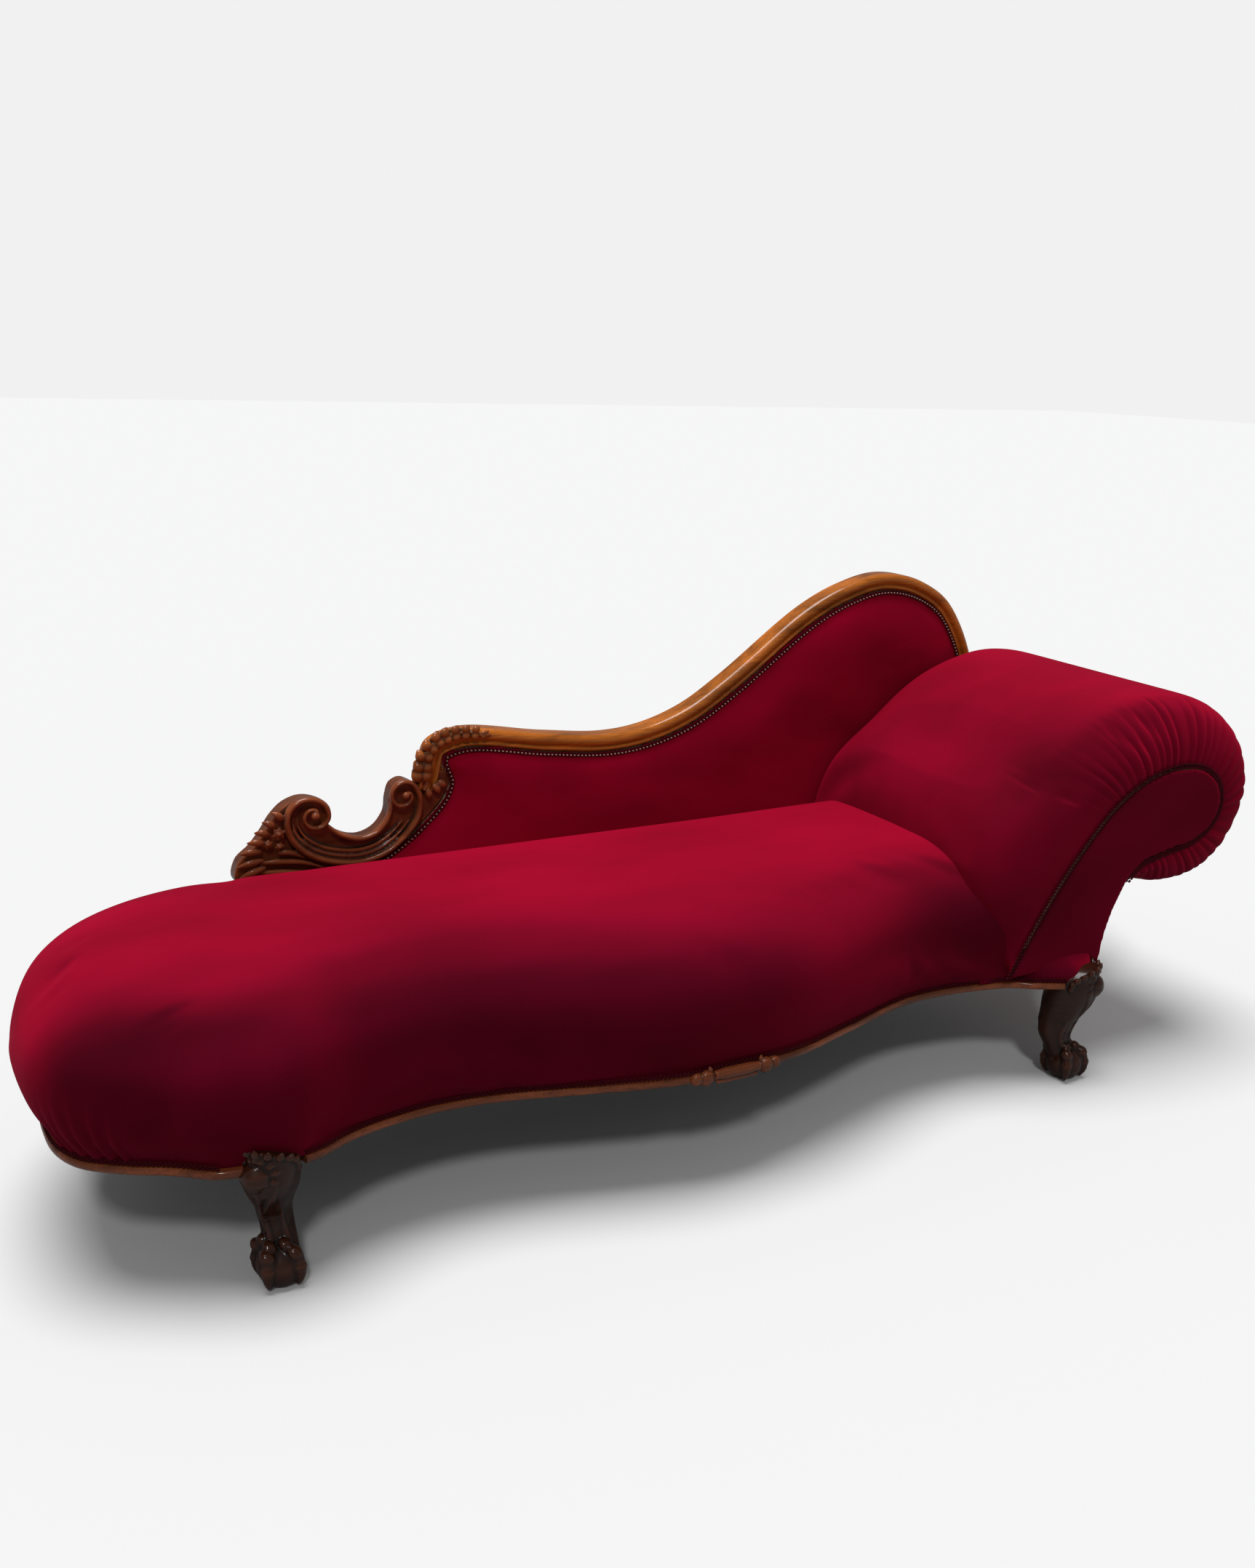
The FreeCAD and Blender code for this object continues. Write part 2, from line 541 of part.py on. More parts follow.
def claw(side, angle):
    """One talon, from the ankle out over the ball and down it."""
    way = Vector(*diagonal(side, 1.0), 0) - Vector(*diagonal(side, 0.0), 0)
    way = Vector(way.x * math.cos(angle) - way.y * math.sin(angle), way.x * math.sin(angle) + way.y * math.cos(angle), 0)
    centre = Vector(*diagonal(side, BALL_OUT), 0)
    rings = []
    for i, (reach, z, share) in enumerate(CLAW_STATIONS):
        before, after = CLAW_STATIONS[max(i - 1, 0)], CLAW_STATIONS[min(i + 1, len(CLAW_STATIONS) - 1)]
        ahead = (way * ((after[0] - before[0]) * BALL_R) + Vector(0, 0, after[1] - before[1])).normalize()
        side_way = way.cross(Vector(0, 0, 1))
        third = ahead.cross(side_way)
        at = centre + way * (reach * BALL_R) + Vector(0, 0, z)
        corners = []
        for step in range(CLAW_SIDES + 1):
            turn = 2 * math.pi * step / CLAW_SIDES
            corners.append(at + (side_way * math.cos(turn) + third * math.sin(turn)) * (CLAW_R * share))
        rings.append(Part.makePolygon(corners))
    return Part.makeLoft(rings, True, True)


def rail_bodies():
    """Room for the front, foot-end and head-end rails beside the carved knees."""
    runs = [rail_points(JOINT_GAP), list(reversed(rail_points(-RAIL_THICK - JOINT_GAP)))]
    front = plan_slab(runs, RAIL_BOTTOM - JOINT_GAP, RAIL_HEIGHT)
    face = HEAD_POST_X + 0.5 * POST_SIDE
    near = -FRONT_POST_Y + 0.5 * POST_SIDE
    head = box(face - RAIL_THICK, face, near, near + 100.0, RAIL_BOTTOM - JOINT_GAP, RAIL_BOTTOM + RAIL_HEIGHT)
    return [front, foot_rail_slab(JOINT_GAP), head]


def front_post(side, grow=0.0):
    """Square top of a front leg."""
    x = HEAD_POST_X if side > 0 else -FOOT_POST_X
    half = 0.5 * POST_SIDE + grow
    return box(x - half, x + half, -FRONT_POST_Y - half, -FRONT_POST_Y + half, POST_BOTTOM - grow, RAIL_BOTTOM + RAIL_HEIGHT)


def front_leg(side):
    """Cabriole leg: post, carved knee, shin and ball and claw foot, standing on the diagonal."""
    rings = [leg_ring(side, *section) for section in LEG_SECTIONS]
    shin = Part.makeLoft(rings, True, True)
    ball = Part.makeSphere(BALL_R, Vector(*diagonal(side, BALL_OUT), BALL_CENTRE_Z))
    post = front_post(side)
    boss = Part.makeSphere(BOSS_R, Vector(*diagonal(side, KNEE_OUT + KNEE_DEEP - 2.0), BOSS_Z))
    ear_start = Vector(*diagonal(side, KNEE_OUT + KNEE_DEEP - 12.0), KNEE_TOP - 18.0)
    ear_way = Vector(*diagonal(side, 1.0), 0) - Vector(*diagonal(side, 0.0), 0) + Vector(0, 0, 0.45)
    ear = Part.makeCone(EAR_R, EAR_TIP_R, EAR_LENGTH, ear_start, ear_way)
    knee = largest(knee_cap(side).cut(rail_bodies()))
    leg = shin.fuse([ball, knee, post, boss, ear])
    leg = leg.fuse([claw(side, math.radians(turn)) for turn in CLAW_TURNS])
    floor = box(-1200.0, 1200.0, -600.0, 600.0, -60.0, 0.0)
    return largest(leg.cut(floor).cut(tenons(HOLE_GAP)))


def rear_leg(post_x):
    """Plain leg: square post, then swept back to a slimmer toe."""
    y = REAR_FACE_Y - 0.5 * POST_SIDE
    half = 0.5 * POST_SIDE
    post = box(post_x - half, post_x + half, y - half, y + half, RAIL_BOTTOM, RAIL_BOTTOM + RAIL_HEIGHT)
    rings = []
    sections = REAR_LEG_SECTIONS + [(RAIL_BOTTOM, 0.0, REAR_LEG_SIDE)]
    for z, sweep, side in sections:
        reach = 0.5 * side
        corners = [Vector(post_x + sx * reach, y + sweep + sy * reach, z) for sx, sy in ((-1, -1), (1, -1), (1, 1), (-1, 1), (-1, -1))]
        rings.append(Part.makePolygon(corners))
    leg = post.fuse(Part.makeLoft(rings, True, False))
    return largest(leg.cut(tenons(HOLE_GAP)))


def webbing_lengthwise():
    bottom = RAIL_BOTTOM - WEB_THICK - 0.1
    inside = inside_frame(WEB_INSET, bottom, WEB_THICK)
    strips = []
    for y in WEB_LONG_Y:
        strip = box(-1100.0, 1100.0, y - 0.5 * WEB_WIDTH, y + 0.5 * WEB_WIDTH, bottom, bottom + WEB_THICK)
        strips.append(largest(strip.common(inside)))
    return strips


def webbing_crosswise():
    bottom = RAIL_BOTTOM - 2 * WEB_THICK - 0.2
    inside = inside_frame(WEB_INSET, bottom, WEB_THICK)
    strips = []
    for i in range(WEB_CROSS_COUNT):
        x = (i - 0.5 * (WEB_CROSS_COUNT - 1)) * WEB_CROSS_PITCH + WEB_CROSS_MIDDLE
        strip = box(x - 0.5 * WEB_WIDTH, x + 0.5 * WEB_WIDTH, -500.0, 500.0, bottom, bottom + WEB_THICK)
        strips.append(largest(strip.common(inside)))
    return strips


def coil(x, y, bottom):
    """Waisted coil spring, as a square wire wound in short straight steps."""
    count = SPRING_TURNS * SPRING_STEPS
    half = 0.5 * SPRING_WIRE
    rings = []
    for i in range(count + 1):
        share = i / count
        angle = 2 * math.pi * i / SPRING_STEPS
        radius = SPRING_WAIST_R + (SPRING_R - SPRING_WAIST_R) * (2 * share - 1) ** 2
        z = bottom + half + share * (SPRING_HEIGHT - SPRING_WIRE)
        out = Vector(math.cos(angle), math.sin(angle), 0)
        at = Vector(x, y, z) + out * radius
        corners = [at + out * sx * half + Vector(0, 0, sz * half) for sx, sz in ((-1, -1), (1, -1), (1, 1), (-1, 1), (-1, -1))]
        rings.append(Part.makePolygon(corners))
    return Part.makeLoft(rings, True, True)


def seat_springs():
    bottom = RAIL_BOTTOM + 0.1
    return [coil(x, y, bottom) for x in SPRING_X for y in SPRING_ROWS_Y]


def spring_hessian():
    bottom = RAIL_BOTTOM + SPRING_HEIGHT + 0.3
    cloth = inside_frame(RAIL_THICK + 6.0, bottom, HESSIAN_THICK)
    behind = box(-1200.0, 1200.0, SEAT_REAR_Y - 2.0, 400.0, bottom - 1.0, bottom + 2 * HESSIAN_THICK)
    return largest(cloth.cut(behind).cut(head_solid(SOFT_GAP)))


def bottom_cloth():
    bottom = RAIL_BOTTOM - 2 * WEB_THICK - DUST_THICK - 0.4
    cloth = inside_frame(CLOTH_INSET, bottom, DUST_THICK).cut(knee_cut())
    leg_tops = [rear_leg_space(-FOOT_POST_X), rear_leg_space(HEAD_POST_X), front_post(-1, JOINT_GAP), front_post(1, JOINT_GAP)]
    return largest(cloth.cut(leg_tops))


def from_spine(point, front, foot):
    """A point of the seat's plan, drawn towards the seat's spine or away from it."""
    x, y = point
    spine = min(SPINE_HEAD_X, max(SPINE_FOOT_X, x))
    beyond = min(1.0, max(0.0, (SPINE_FOOT_X - x) / 250.0))
    share = front + (foot - front) * beyond
    return (spine + (x - spine) * share, y * share)


def seat_outline(front, foot, held):
    """Plan of the seat's upholstery at one level."""
    along_front = across_front(HEAD_HALF_LINE, FOOT_HALF_LINE)
    knee = [(-FOOT_LEG_X + x, -y) for x, y in KNEE_LINE]
    round_foot = foot_points()
    behind = [(BACK_FOOT_X - 30.0, SEAT_FREE_REAR_Y - 4.0), (-FOOT_POST_X, SEAT_FREE_REAR_Y)]
    run = [from_spine(point, front, foot) for point in behind + round_foot + knee + along_front]
    back_y = SEAT_REAR_Y * held
    return [run, [(SEAT_HEAD_X, run[-1][1])], [(SEAT_HEAD_X, back_y)], [(BACK_FOOT_X - 12.0, back_y)]]


def seat_cushion():
    """Sprung seat: stuffing and velvet in one crowned form, open below over the springs."""
    wires = [loop(seat_outline(*shares), at_height(z)) for z, *shares in SEAT_LEVELS]
    form = Part.makeLoft(wires, True, True)
    rail_space = inside_frame(-SOFT_GAP, RAIL_BOTTOM - 5.0, RAIL_HEIGHT + 5.0 + SOFT_GAP)
    spring_space = inside_frame(RAIL_THICK + 4.0, RAIL_BOTTOM, SPRING_HEIGHT + HESSIAN_THICK + 0.8)
    form = form.cut(rail_space).cut(spring_space).cut(posts(SOFT_GAP + 1.0)).cut(knee_cut())
    return largest(form.cut(head_solid(SOFT_GAP)).cut(facing_space()))


def facing_space():
    """Room in front of the head end's facing, out to its gimp line and down past its foot."""
    run = [gimp for gimp, full in HEAD_LINES]
    run = moved_out(run, [-SOFT_GAP] * len(run))
    back = HEAD_BACK_LINE[1:]
    low = MOULD_BOTTOM + MOULD_HEIGHT
    depth = 200.0
    runs = [run, back, [(back[-1][0], low)], [(run[0][0], low)]]
    return wall_slab(runs, HEAD_FRONT_Y - depth, depth + 2 * FACING_THICK)


def head_outline(share, grow=0.0):
    """Outline of the head end between the facing's gimp line and the full cushion."""
    run = []
    for (gx, gz), (fx, fz) in HEAD_LINES:
        run.append((gx + (fx - gx) * share, gz + (fz - gz) * share))
    run = moved_out(run, [-grow] * len(run))
    back = moved_out(HEAD_BACK_LINE, [-grow] * len(HEAD_BACK_LINE))
    return [run + back[1:-1] + [back[-1]]]


def head_solid(grow=0.0):
    wires = []
    for step, share in HEAD_EDGE:
        wires.append(loop([head_outline(share, grow)[0]], at_depth(HEAD_FRONT_Y + FACING_THICK - grow + step)))
    for step, share in HEAD_REAR_EDGE:
        wires.append(loop([head_outline(share, grow)[0]], at_depth(HEAD_REAR_Y + grow - step)))
    return Part.makeLoft(wires, True, True)


def head_core(front, rear, grow=0.0):
    """The head end's framed inside, drawn in from the gimp line, between two depths."""
    run = [gimp for gimp, full in HEAD_LINES]
    run = moved_out(run, [CORE_INSET - grow] * len(run))
    back = moved_out(HEAD_BACK_LINE, [-6.0] * len(HEAD_BACK_LINE))
    return wall_slab([run + back[1:]], front, rear - front)


def above_rails():
    top = RAIL_BOTTOM + RAIL_HEIGHT
    return box(400.0, 1200.0, -500.0, 500.0, top + SOFT_GAP, 900.0)


def head_frame_slab(front, thickness, inset):
    """Slab of the scroll's shape, standing on the rails."""
    run = [gimp for gimp, full in HEAD_LINES]
    run = moved_out(run, [inset] * len(run))
    back = moved_out(HEAD_BACK_LINE, [inset] * len(HEAD_BACK_LINE))
    slab = wall_slab([run, back[1:]], front, thickness)
    return largest(slab.common(above_rails()))


def head_front_board():
    board = head_frame_slab(HEAD_FRONT_Y + FACING_THICK + 0.2, BOARD_THICK, CORE_INSET + 1.0)
    return largest(board.cut(roll_bar_hole()).cut(slat_cut()))


def head_rear_board():
    board = head_frame_slab(HEAD_REAR_Y - FACING_THICK - 0.2 - BOARD_THICK, BOARD_THICK, CORE_INSET + 1.0)
    return largest(board.cut(roll_bar_hole()).cut(slat_cut()))


def roll_bar(grow=0.0):
    start = HEAD_FRONT_Y + FACING_THICK + 8.0
    length = HEAD_REAR_Y - FACING_THICK - 8.0 - start
    return Part.makeCylinder(ROLL_BAR_R + grow, length, Vector(ROLL_BAR_AT[0], start, ROLL_BAR_AT[1]), Vector(0, 1, 0))


def roll_bar_hole():
    return roll_bar(HOLE_GAP)


def slats(grow=0.0):
    """Rails between the two scroll boards, let into them."""
    start = HEAD_FRONT_Y + FACING_THICK + 14.0
    end = HEAD_REAR_Y - FACING_THICK - 14.0
    shapes = []
    for x, z in SLATS_AT:
        slat = box(-0.5 * SLAT_WIDTH - grow, 0.5 * SLAT_WIDTH + grow, start, end, -0.5 * SLAT_THICK - grow, 0.5 * SLAT_THICK + grow)
        slat.rotate(Vector(0, 0, 0), Vector(0, 1, 0), -50.0)
        slat.translate(Vector(x, 0, z))
        shapes.append(slat)
    return shapes


def slat_cut():
    shapes = slats(HOLE_GAP)
    return shapes[0].fuse(shapes[1:])


def head_cushion():
    """Rolled head cushion: a padded skin right round the frame, gathered down to the facings."""
    form = head_solid()
    core = head_core(HEAD_FRONT_Y - 5.0, HEAD_REAR_Y + 5.0)
    rails = inside_frame(-SOFT_GAP, RAIL_BOTTOM - 5.0, RAIL_HEIGHT + 5.0 + SOFT_GAP)
    run = moved_out([gimp for gimp, full in HEAD_LINES], [CORE_INSET] * len(HEAD_LINES))
    ends = wall_slab([run, HEAD_BACK_LINE[1:]], HEAD_FRONT_Y - 5.0, HEAD_REAR_Y - HEAD_FRONT_Y + 10.0)
    form = form.cut(core).cut(ends).cut(rails).cut(posts(SOFT_GAP + 1.0)).cut(knee_cut())
    return largest(form.cut(head_cover_slab(SOFT_GAP)))


def facing(front):
    """Flat velvet facing over the end of a scroll board."""
    run = [gimp for gimp, full in HEAD_LINES]
    run = moved_out(run, [CORE_INSET + SOFT_GAP] * len(run))
    back = moved_out(HEAD_BACK_LINE, [1.0] * len(HEAD_BACK_LINE))
    return wall_slab([run, back[1:]], front, FACING_THICK)


def head_front_facing():
    return largest(facing(HEAD_FRONT_Y).cut(knee_cut()))


def head_rear_facing():
    shape = facing(HEAD_REAR_Y - FACING_THICK)
    return largest(shape.common(above_rails()))


def facing_gimp(front):
    run = [gimp for gimp, full in HEAD_LINES]
    outer = moved_out(run, [1.0] * len(run))
    inner = moved_out(run, [1.0 + GIMP_WIDTH] * len(run))
    return wall_slab([outer, list(reversed(inner))], front, GIMP_THICK)


def head_lining():
    """Hessian stretched over the slats, between the boards."""
    run = [gimp for gimp, full in HEAD_LINES[1:11]]
    outer = moved_out(run, [CORE_INSET + 1.0] * len(run))
    inner = moved_out(run, [CORE_INSET + 1.0 + LINING_THICK] * len(run))
    start = HEAD_FRONT_Y + FACING_THICK + BOARD_THICK + 0.6
    end = HEAD_REAR_Y - FACING_THICK - BOARD_THICK - 0.6
    lining = wall_slab([outer, list(reversed(inner))], start, end - start)
    return largest(lining.common(above_rails()))


def head_cover_slab(grow=0.0):
    outer = moved_out(HEAD_BACK_LINE, [-OUTSIDE_THICK - grow] * len(HEAD_BACK_LINE))
    inner = moved_out(HEAD_BACK_LINE, [grow] * len(HEAD_BACK_LINE))
    start = HEAD_FRONT_Y + FACING_THICK - grow
    end = HEAD_REAR_Y - FACING_THICK + grow
    return wall_slab([outer, list(reversed(inner))], start, end - start)


def outside_head_cover():
    """Velvet down the outside of the head end, from under the roll to the moulding."""
    return head_cover_slab()


def back_inner(out=0.0):
    """Line inside the back's show wood, from its foot to its head end."""
    return moved_out(BACK_LINE, [BACK_WOOD_WIDTH + out] * len(BACK_LINE))


def scroll_low(out=0.0):
    return moved_out(SCROLL_LOW_LINE, [out] * len(SCROLL_LOW_LINE))


def back_top_rail():
    """Show-wood rail of the back, sawn to its curve and rounded along its front."""
    wires = []
    for depth, back in BACK_WOOD_LEVELS:
        outer = moved_out(BACK_LINE, [back] * len(BACK_LINE))
        inner = back_inner(-0.4 * back)
        wires.append(loop([outer, list(reversed(inner))], at_depth(BACK_WOOD_FRONT + depth)))
    return Part.makeLoft(wires, True, True)


def back_scroll():
    """Carved C scroll at the back's foot: a reeded throat between a large and a small volute."""
    runs = [SCROLL_LOW_LINE, SCROLL_TOP_LINE, SCROLL_THROAT, SCROLL_LEAF]
    depth = BACK_WOOD_REAR - BACK_WOOD_FRONT
    body = wall_slab(runs, BACK_WOOD_FRONT + 4.0, depth - 4.0)
    pieces = []
    for x, z, radius in (BIG_VOLUTE, SMALL_VOLUTE):
        start = Vector(x, BACK_WOOD_FRONT - VOLUTE_PROUD, z)
        pieces.append(Part.makeCylinder(radius, depth + VOLUTE_PROUD, start, Vector(0, 1, 0)))
        eye = Vector(x, BACK_WOOD_FRONT - 2 * VOLUTE_PROUD, z)
        pieces.append(Part.makeCone(VOLUTE_EYE_R - 4.0, VOLUTE_EYE_R, 2 * VOLUTE_PROUD, eye, Vector(0, 1, 0)))
    scroll = body.fuse(pieces)
    return largest(scroll.cut(back_wood_space()))


def back_wood_space():
    """Room for the back's show-wood rail."""
    outer = moved_out(BACK_LINE, [-JOINT_GAP] * len(BACK_LINE))
    return wall_slab([outer, list(reversed(back_inner(JOINT_GAP)))], BACK_WOOD_FRONT - 30.0, 100.0)


def pad_outline(inset):
    """Outline of the upholstery of the back, inside its show wood."""
    top = back_inner(inset + SOFT_GAP)
    low = list(reversed([(x, z) for x, z in scroll_low(inset + SOFT_GAP)]))
    bottom = RAIL_BOTTOM + RAIL_HEIGHT + 6.0 + inset
    return [top, [(top[-1][0], bottom)], [(low[-1][0], bottom)], list(reversed(low))]


def back_pad():
    """Velvet pad of the back, crowned towards the sitter."""
    wires = [loop(pad_outline(-inset), at_depth(y)) for y, inset in BACK_PAD_LEVELS]
    return largest(Part.makeLoft(wires, True, True))


def back_region(front, thickness, inset):
    return wall_slab(pad_outline(inset), front, thickness)


def back_bottom_rail():
    bottom = RAIL_BOTTOM + RAIL_HEIGHT
    rail = box(BACK_FOOT_X + 20.0, BACK_LINE[-1][0], BACK_FRAME_FRONT, REAR_FACE_Y, bottom, BACK_RAIL_TOP)
    return largest(rail.cut(back_wood_space()))


def back_posts():
    region = back_region(BACK_FRAME_FRONT, REAR_FACE_Y - BACK_FRAME_FRONT, JOINT_GAP)
    shapes = []
    for x in BACK_POSTS_X:
        post = box(x - 0.5 * BACK_POST_WIDTH, x + 0.5 * BACK_POST_WIDTH, BACK_FRAME_FRONT, REAR_FACE_Y,
                   BACK_RAIL_TOP + JOINT_GAP, 900.0)
        shapes.append(largest(post.common(region)))
    return shapes


def back_lining():
    return back_region(BACK_PAD_LEVELS[0][0] + SOFT_GAP, HESSIAN_THICK, 2.0)


def outside_back_cover():
    return back_region(REAR_FACE_Y + JOINT_GAP, BACK_COVER_THICK, 0.5)


def back_gimp():
    outer, inner = back_inner(0.6), back_inner(0.6 + GIMP_WIDTH)
    front = BACK_PAD_LEVELS[2][0] - SOFT_GAP - GIMP_THICK
    return wall_slab([outer, list(reversed(inner))], front, GIMP_THICK)


def seat_gimp():
    """Braid along the top of the mouldings, from the head end round to the rear leg."""
    bottom = MOULD_BOTTOM + MOULD_HEIGHT + 0.2
    front = front_points(-3.0)
    front_in = front_points(-3.0 - GIMP_THICK)
    foot = foot_points(-3.0)
    foot_in = foot_points(-3.0 - GIMP_THICK)
    shapes = [plan_slab([front, list(reversed(front_in))], bottom, GIMP_WIDTH)]
    shapes.append(plan_slab([foot, list(reversed(foot_in))], bottom, GIMP_WIDTH))
    return [largest(shape.cut(knee_cut())) for shape in shapes]


def all_nodes():
    """Every piece by the name of its node, as a list of separate solids."""
    nodes = {}
    nodes["front_seat_rail"] = [front_seat_rail()]
    nodes["foot_end_rail"] = [foot_end_rail()]
    nodes["rear_seat_rail"] = [rear_seat_rail()]
    nodes["head_end_rail"] = [head_end_rail()]
    nodes["seat_bearers"] = seat_bearers()
    nodes["corner_blocks"] = corner_blocks()
    nodes["rail_tenons"] = tenons()
    nodes["front_rail_moulding"] = [front_rail_moulding()]
    nodes["foot_end_moulding"] = [foot_end_moulding()]
    nodes["head_end_moulding"] = [head_end_moulding()]
    nodes["rail_centre_carving"] = [centre_carving()]
    nodes["front_leg_foot_end"] = [front_leg(-1)]
    nodes["front_leg_head_end"] = [front_leg(1)]
    nodes["rear_leg_foot_end"] = [rear_leg(-FOOT_POST_X)]
    nodes["rear_leg_head_end"] = [rear_leg(HEAD_POST_X)]
    nodes["webbing_lengthwise"] = webbing_lengthwise()
    nodes["webbing_crosswise"] = webbing_crosswise()
    nodes["seat_springs"] = seat_springs()
    nodes["spring_hessian"] = [spring_hessian()]
    nodes["bottom_cloth"] = [bottom_cloth()]
    nodes["seat_cushion"] = [seat_cushion()]
    nodes["seat_gimp"] = seat_gimp()
    nodes["back_bottom_rail"] = [back_bottom_rail()]
    nodes["back_posts"] = back_posts()
    nodes["back_top_rail"] = [back_top_rail()]
    nodes["back_scroll"] = [back_scroll()]
    nodes["back_lining"] = [back_lining()]
    nodes["back_pad"] = [back_pad()]
    nodes["back_gimp"] = [back_gimp()]
    nodes["outside_back_cover"] = [outside_back_cover()]
    nodes["head_front_board"] = [head_front_board()]
    nodes["head_rear_board"] = [head_rear_board()]
    nodes["head_roll_bar"] = [roll_bar()]
    nodes["head_slats"] = slats()
    nodes["head_lining"] = [head_lining()]
    nodes["head_cushion"] = [head_cushion()]
    nodes["head_front_facing"] = [head_front_facing()]
    nodes["head_rear_facing"] = [head_rear_facing()]
    nodes["head_front_gimp"] = [facing_gimp(HEAD_FRONT_Y - GIMP_THICK)]
    nodes["outside_head_cover"] = [outside_head_cover()]
    return nodes


def main():
    os.makedirs("parts", exist_ok=True)
    nodes = all_nodes()
    whole = Part.Compound([solid for solids in nodes.values() for solid in solids])
    box_all = whole.optimalBoundingBox(False)
    shift = Vector(-0.5 * (box_all.XMin + box_all.XMax), -0.5 * (box_all.YMin + box_all.YMax), -box_all.ZMin)
    for name, solids in nodes.items():
        shape = solids[0] if len(solids) == 1 else Part.Compound(solids)
        shape = shape.copy()
        shape.translate(shift)
        shape.exportStep("parts/" + name + ".step")
    print("size", [round(v, 1) for v in (box_all.XLength, box_all.YLength, box_all.ZLength)])
    print("moved by", [round(v, 3) for v in shift])


main()
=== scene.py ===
import json
import math
import bmesh
import bpy
import numpy as np
from mathutils import Matrix, Vector


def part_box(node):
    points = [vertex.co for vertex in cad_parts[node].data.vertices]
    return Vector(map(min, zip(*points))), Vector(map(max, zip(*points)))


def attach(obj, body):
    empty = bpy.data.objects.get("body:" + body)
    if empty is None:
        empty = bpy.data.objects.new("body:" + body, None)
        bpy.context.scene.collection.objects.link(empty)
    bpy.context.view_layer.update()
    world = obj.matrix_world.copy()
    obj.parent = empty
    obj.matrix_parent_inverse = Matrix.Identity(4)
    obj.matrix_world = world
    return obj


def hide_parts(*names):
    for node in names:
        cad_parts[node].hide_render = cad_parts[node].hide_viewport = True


bl_info = {
    "name": "Fainting couch",
    "version": (1, 0, 0),
    "blender": (4, 5, 0),
    "location": "View3D > Sidebar > Couch",
    "description": "Velvet, carving and braid of a show-wood fainting couch, built round its frame",
    "category": "Object",
}

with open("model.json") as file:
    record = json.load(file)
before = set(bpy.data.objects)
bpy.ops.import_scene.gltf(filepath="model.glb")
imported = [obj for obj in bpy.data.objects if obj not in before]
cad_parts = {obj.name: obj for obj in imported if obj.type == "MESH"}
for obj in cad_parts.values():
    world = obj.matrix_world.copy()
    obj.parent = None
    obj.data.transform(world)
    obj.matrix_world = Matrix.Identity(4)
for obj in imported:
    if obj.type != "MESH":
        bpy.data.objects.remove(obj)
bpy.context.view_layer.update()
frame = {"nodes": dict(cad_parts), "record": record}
NODES = frame["nodes"]

# Where the middle of the legs lies in the row frame
BAR_LOW, BAR_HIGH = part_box("head_roll_bar")
RAIL_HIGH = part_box("rear_seat_rail")[1]
MIDDLE = Vector((0.5 * (BAR_LOW.x + BAR_HIGH.x) - 0.974, RAIL_HIGH.y - 0.312, 0.0))

# Plan of the seat, in metres from the middle of the legs: along, then out from the middle
HEAD_HALF_LINE = [(0.0, 0.334), (0.107, 0.329), (0.235, 0.292), (0.380, 0.248), (0.470, 0.243),
                  (0.600, 0.266)]
FOOT_HALF_LINE = [(0.107, 0.334), (0.235, 0.303), (0.380, 0.265), (0.480, 0.258), (0.590, 0.278),
                  (0.645, 0.305)]
KNEE_LINE = [(-0.036, 0.312), (-0.008, 0.322), (0.034, 0.318)]
FOOT_LINE = [(0.082, 0.303), (0.129, 0.270), (0.189, 0.236), (0.236, 0.198), (0.259, 0.150), (0.265, 0.080),
             (0.260, 0.0)]
FOOT_REAR_LINE = [(0.246, 0.075), (0.216, 0.152), (0.172, 0.216), (0.118, 0.264), (0.060, 0.296)]
FOOT_LEG_X = 0.706
HEAD_LEG_X = 0.722
LEG_FRONT_Y = 0.285
MOULD_Z = 0.183
MOULD_HEIGHT = 0.013

# Seat upholstery: height, then the shares of the plan for the front, the foot end and the rear
SEAT_LEVELS = [(0.1965, 0.972, 0.972, 1.0), (0.205, 0.98, 0.98, 1.0), (0.236, 1.03, 1.05, 1.0),
               (0.296, 1.055, 1.095, 1.0), (0.338, 1.02, 1.075, 1.0),
               (0.368, 0.92, 0.98, 1.0), (0.390, 0.75, 0.81, 0.93), (0.405, 0.42, 0.44, 0.64),
               (0.4085, 0.04, 0.04, 0.04)]
SPINE_FOOT_X = -0.650
SPINE_HEAD_X = 0.560
SEAT_REAR_Y = 0.266
SEAT_FREE_REAR_Y = 0.318
BACK_FOOT_X = -0.604
SEAT_HEAD_X = 0.662

# Head end in the plane of the front: gimp line, then full outline
HEAD_LINES = [((0.578, 0.214), (0.600, 0.214)), ((0.642, 0.322), (0.520, 0.345)),
              ((0.709, 0.414), (0.546, 0.462)),
              ((0.780, 0.491), (0.653, 0.558)), ((0.830, 0.526), (0.748, 0.627)),
              ((0.885, 0.548), (0.836, 0.662)),
              ((0.945, 0.556), (0.930, 0.677)), ((1.002, 0.545), (1.042, 0.655)),
              ((1.040, 0.516), (1.122, 0.596)),
              ((1.053, 0.475), (1.162, 0.505)), ((1.036, 0.436), (1.140, 0.406)),
              ((0.993, 0.409), (1.076, 0.338)),
              ((0.924, 0.396), (0.985, 0.318)), ((0.866, 0.380), (0.900, 0.334)),
              ((0.838, 0.356), (0.846, 0.346))]
HEAD_EDGE = [(0.0, 0.0), (0.006, 0.5), (0.022, 0.82), (0.058, 1.0)]
HEAD_FRONT_Y = -0.279
HEAD_REAR_Y = 0.262

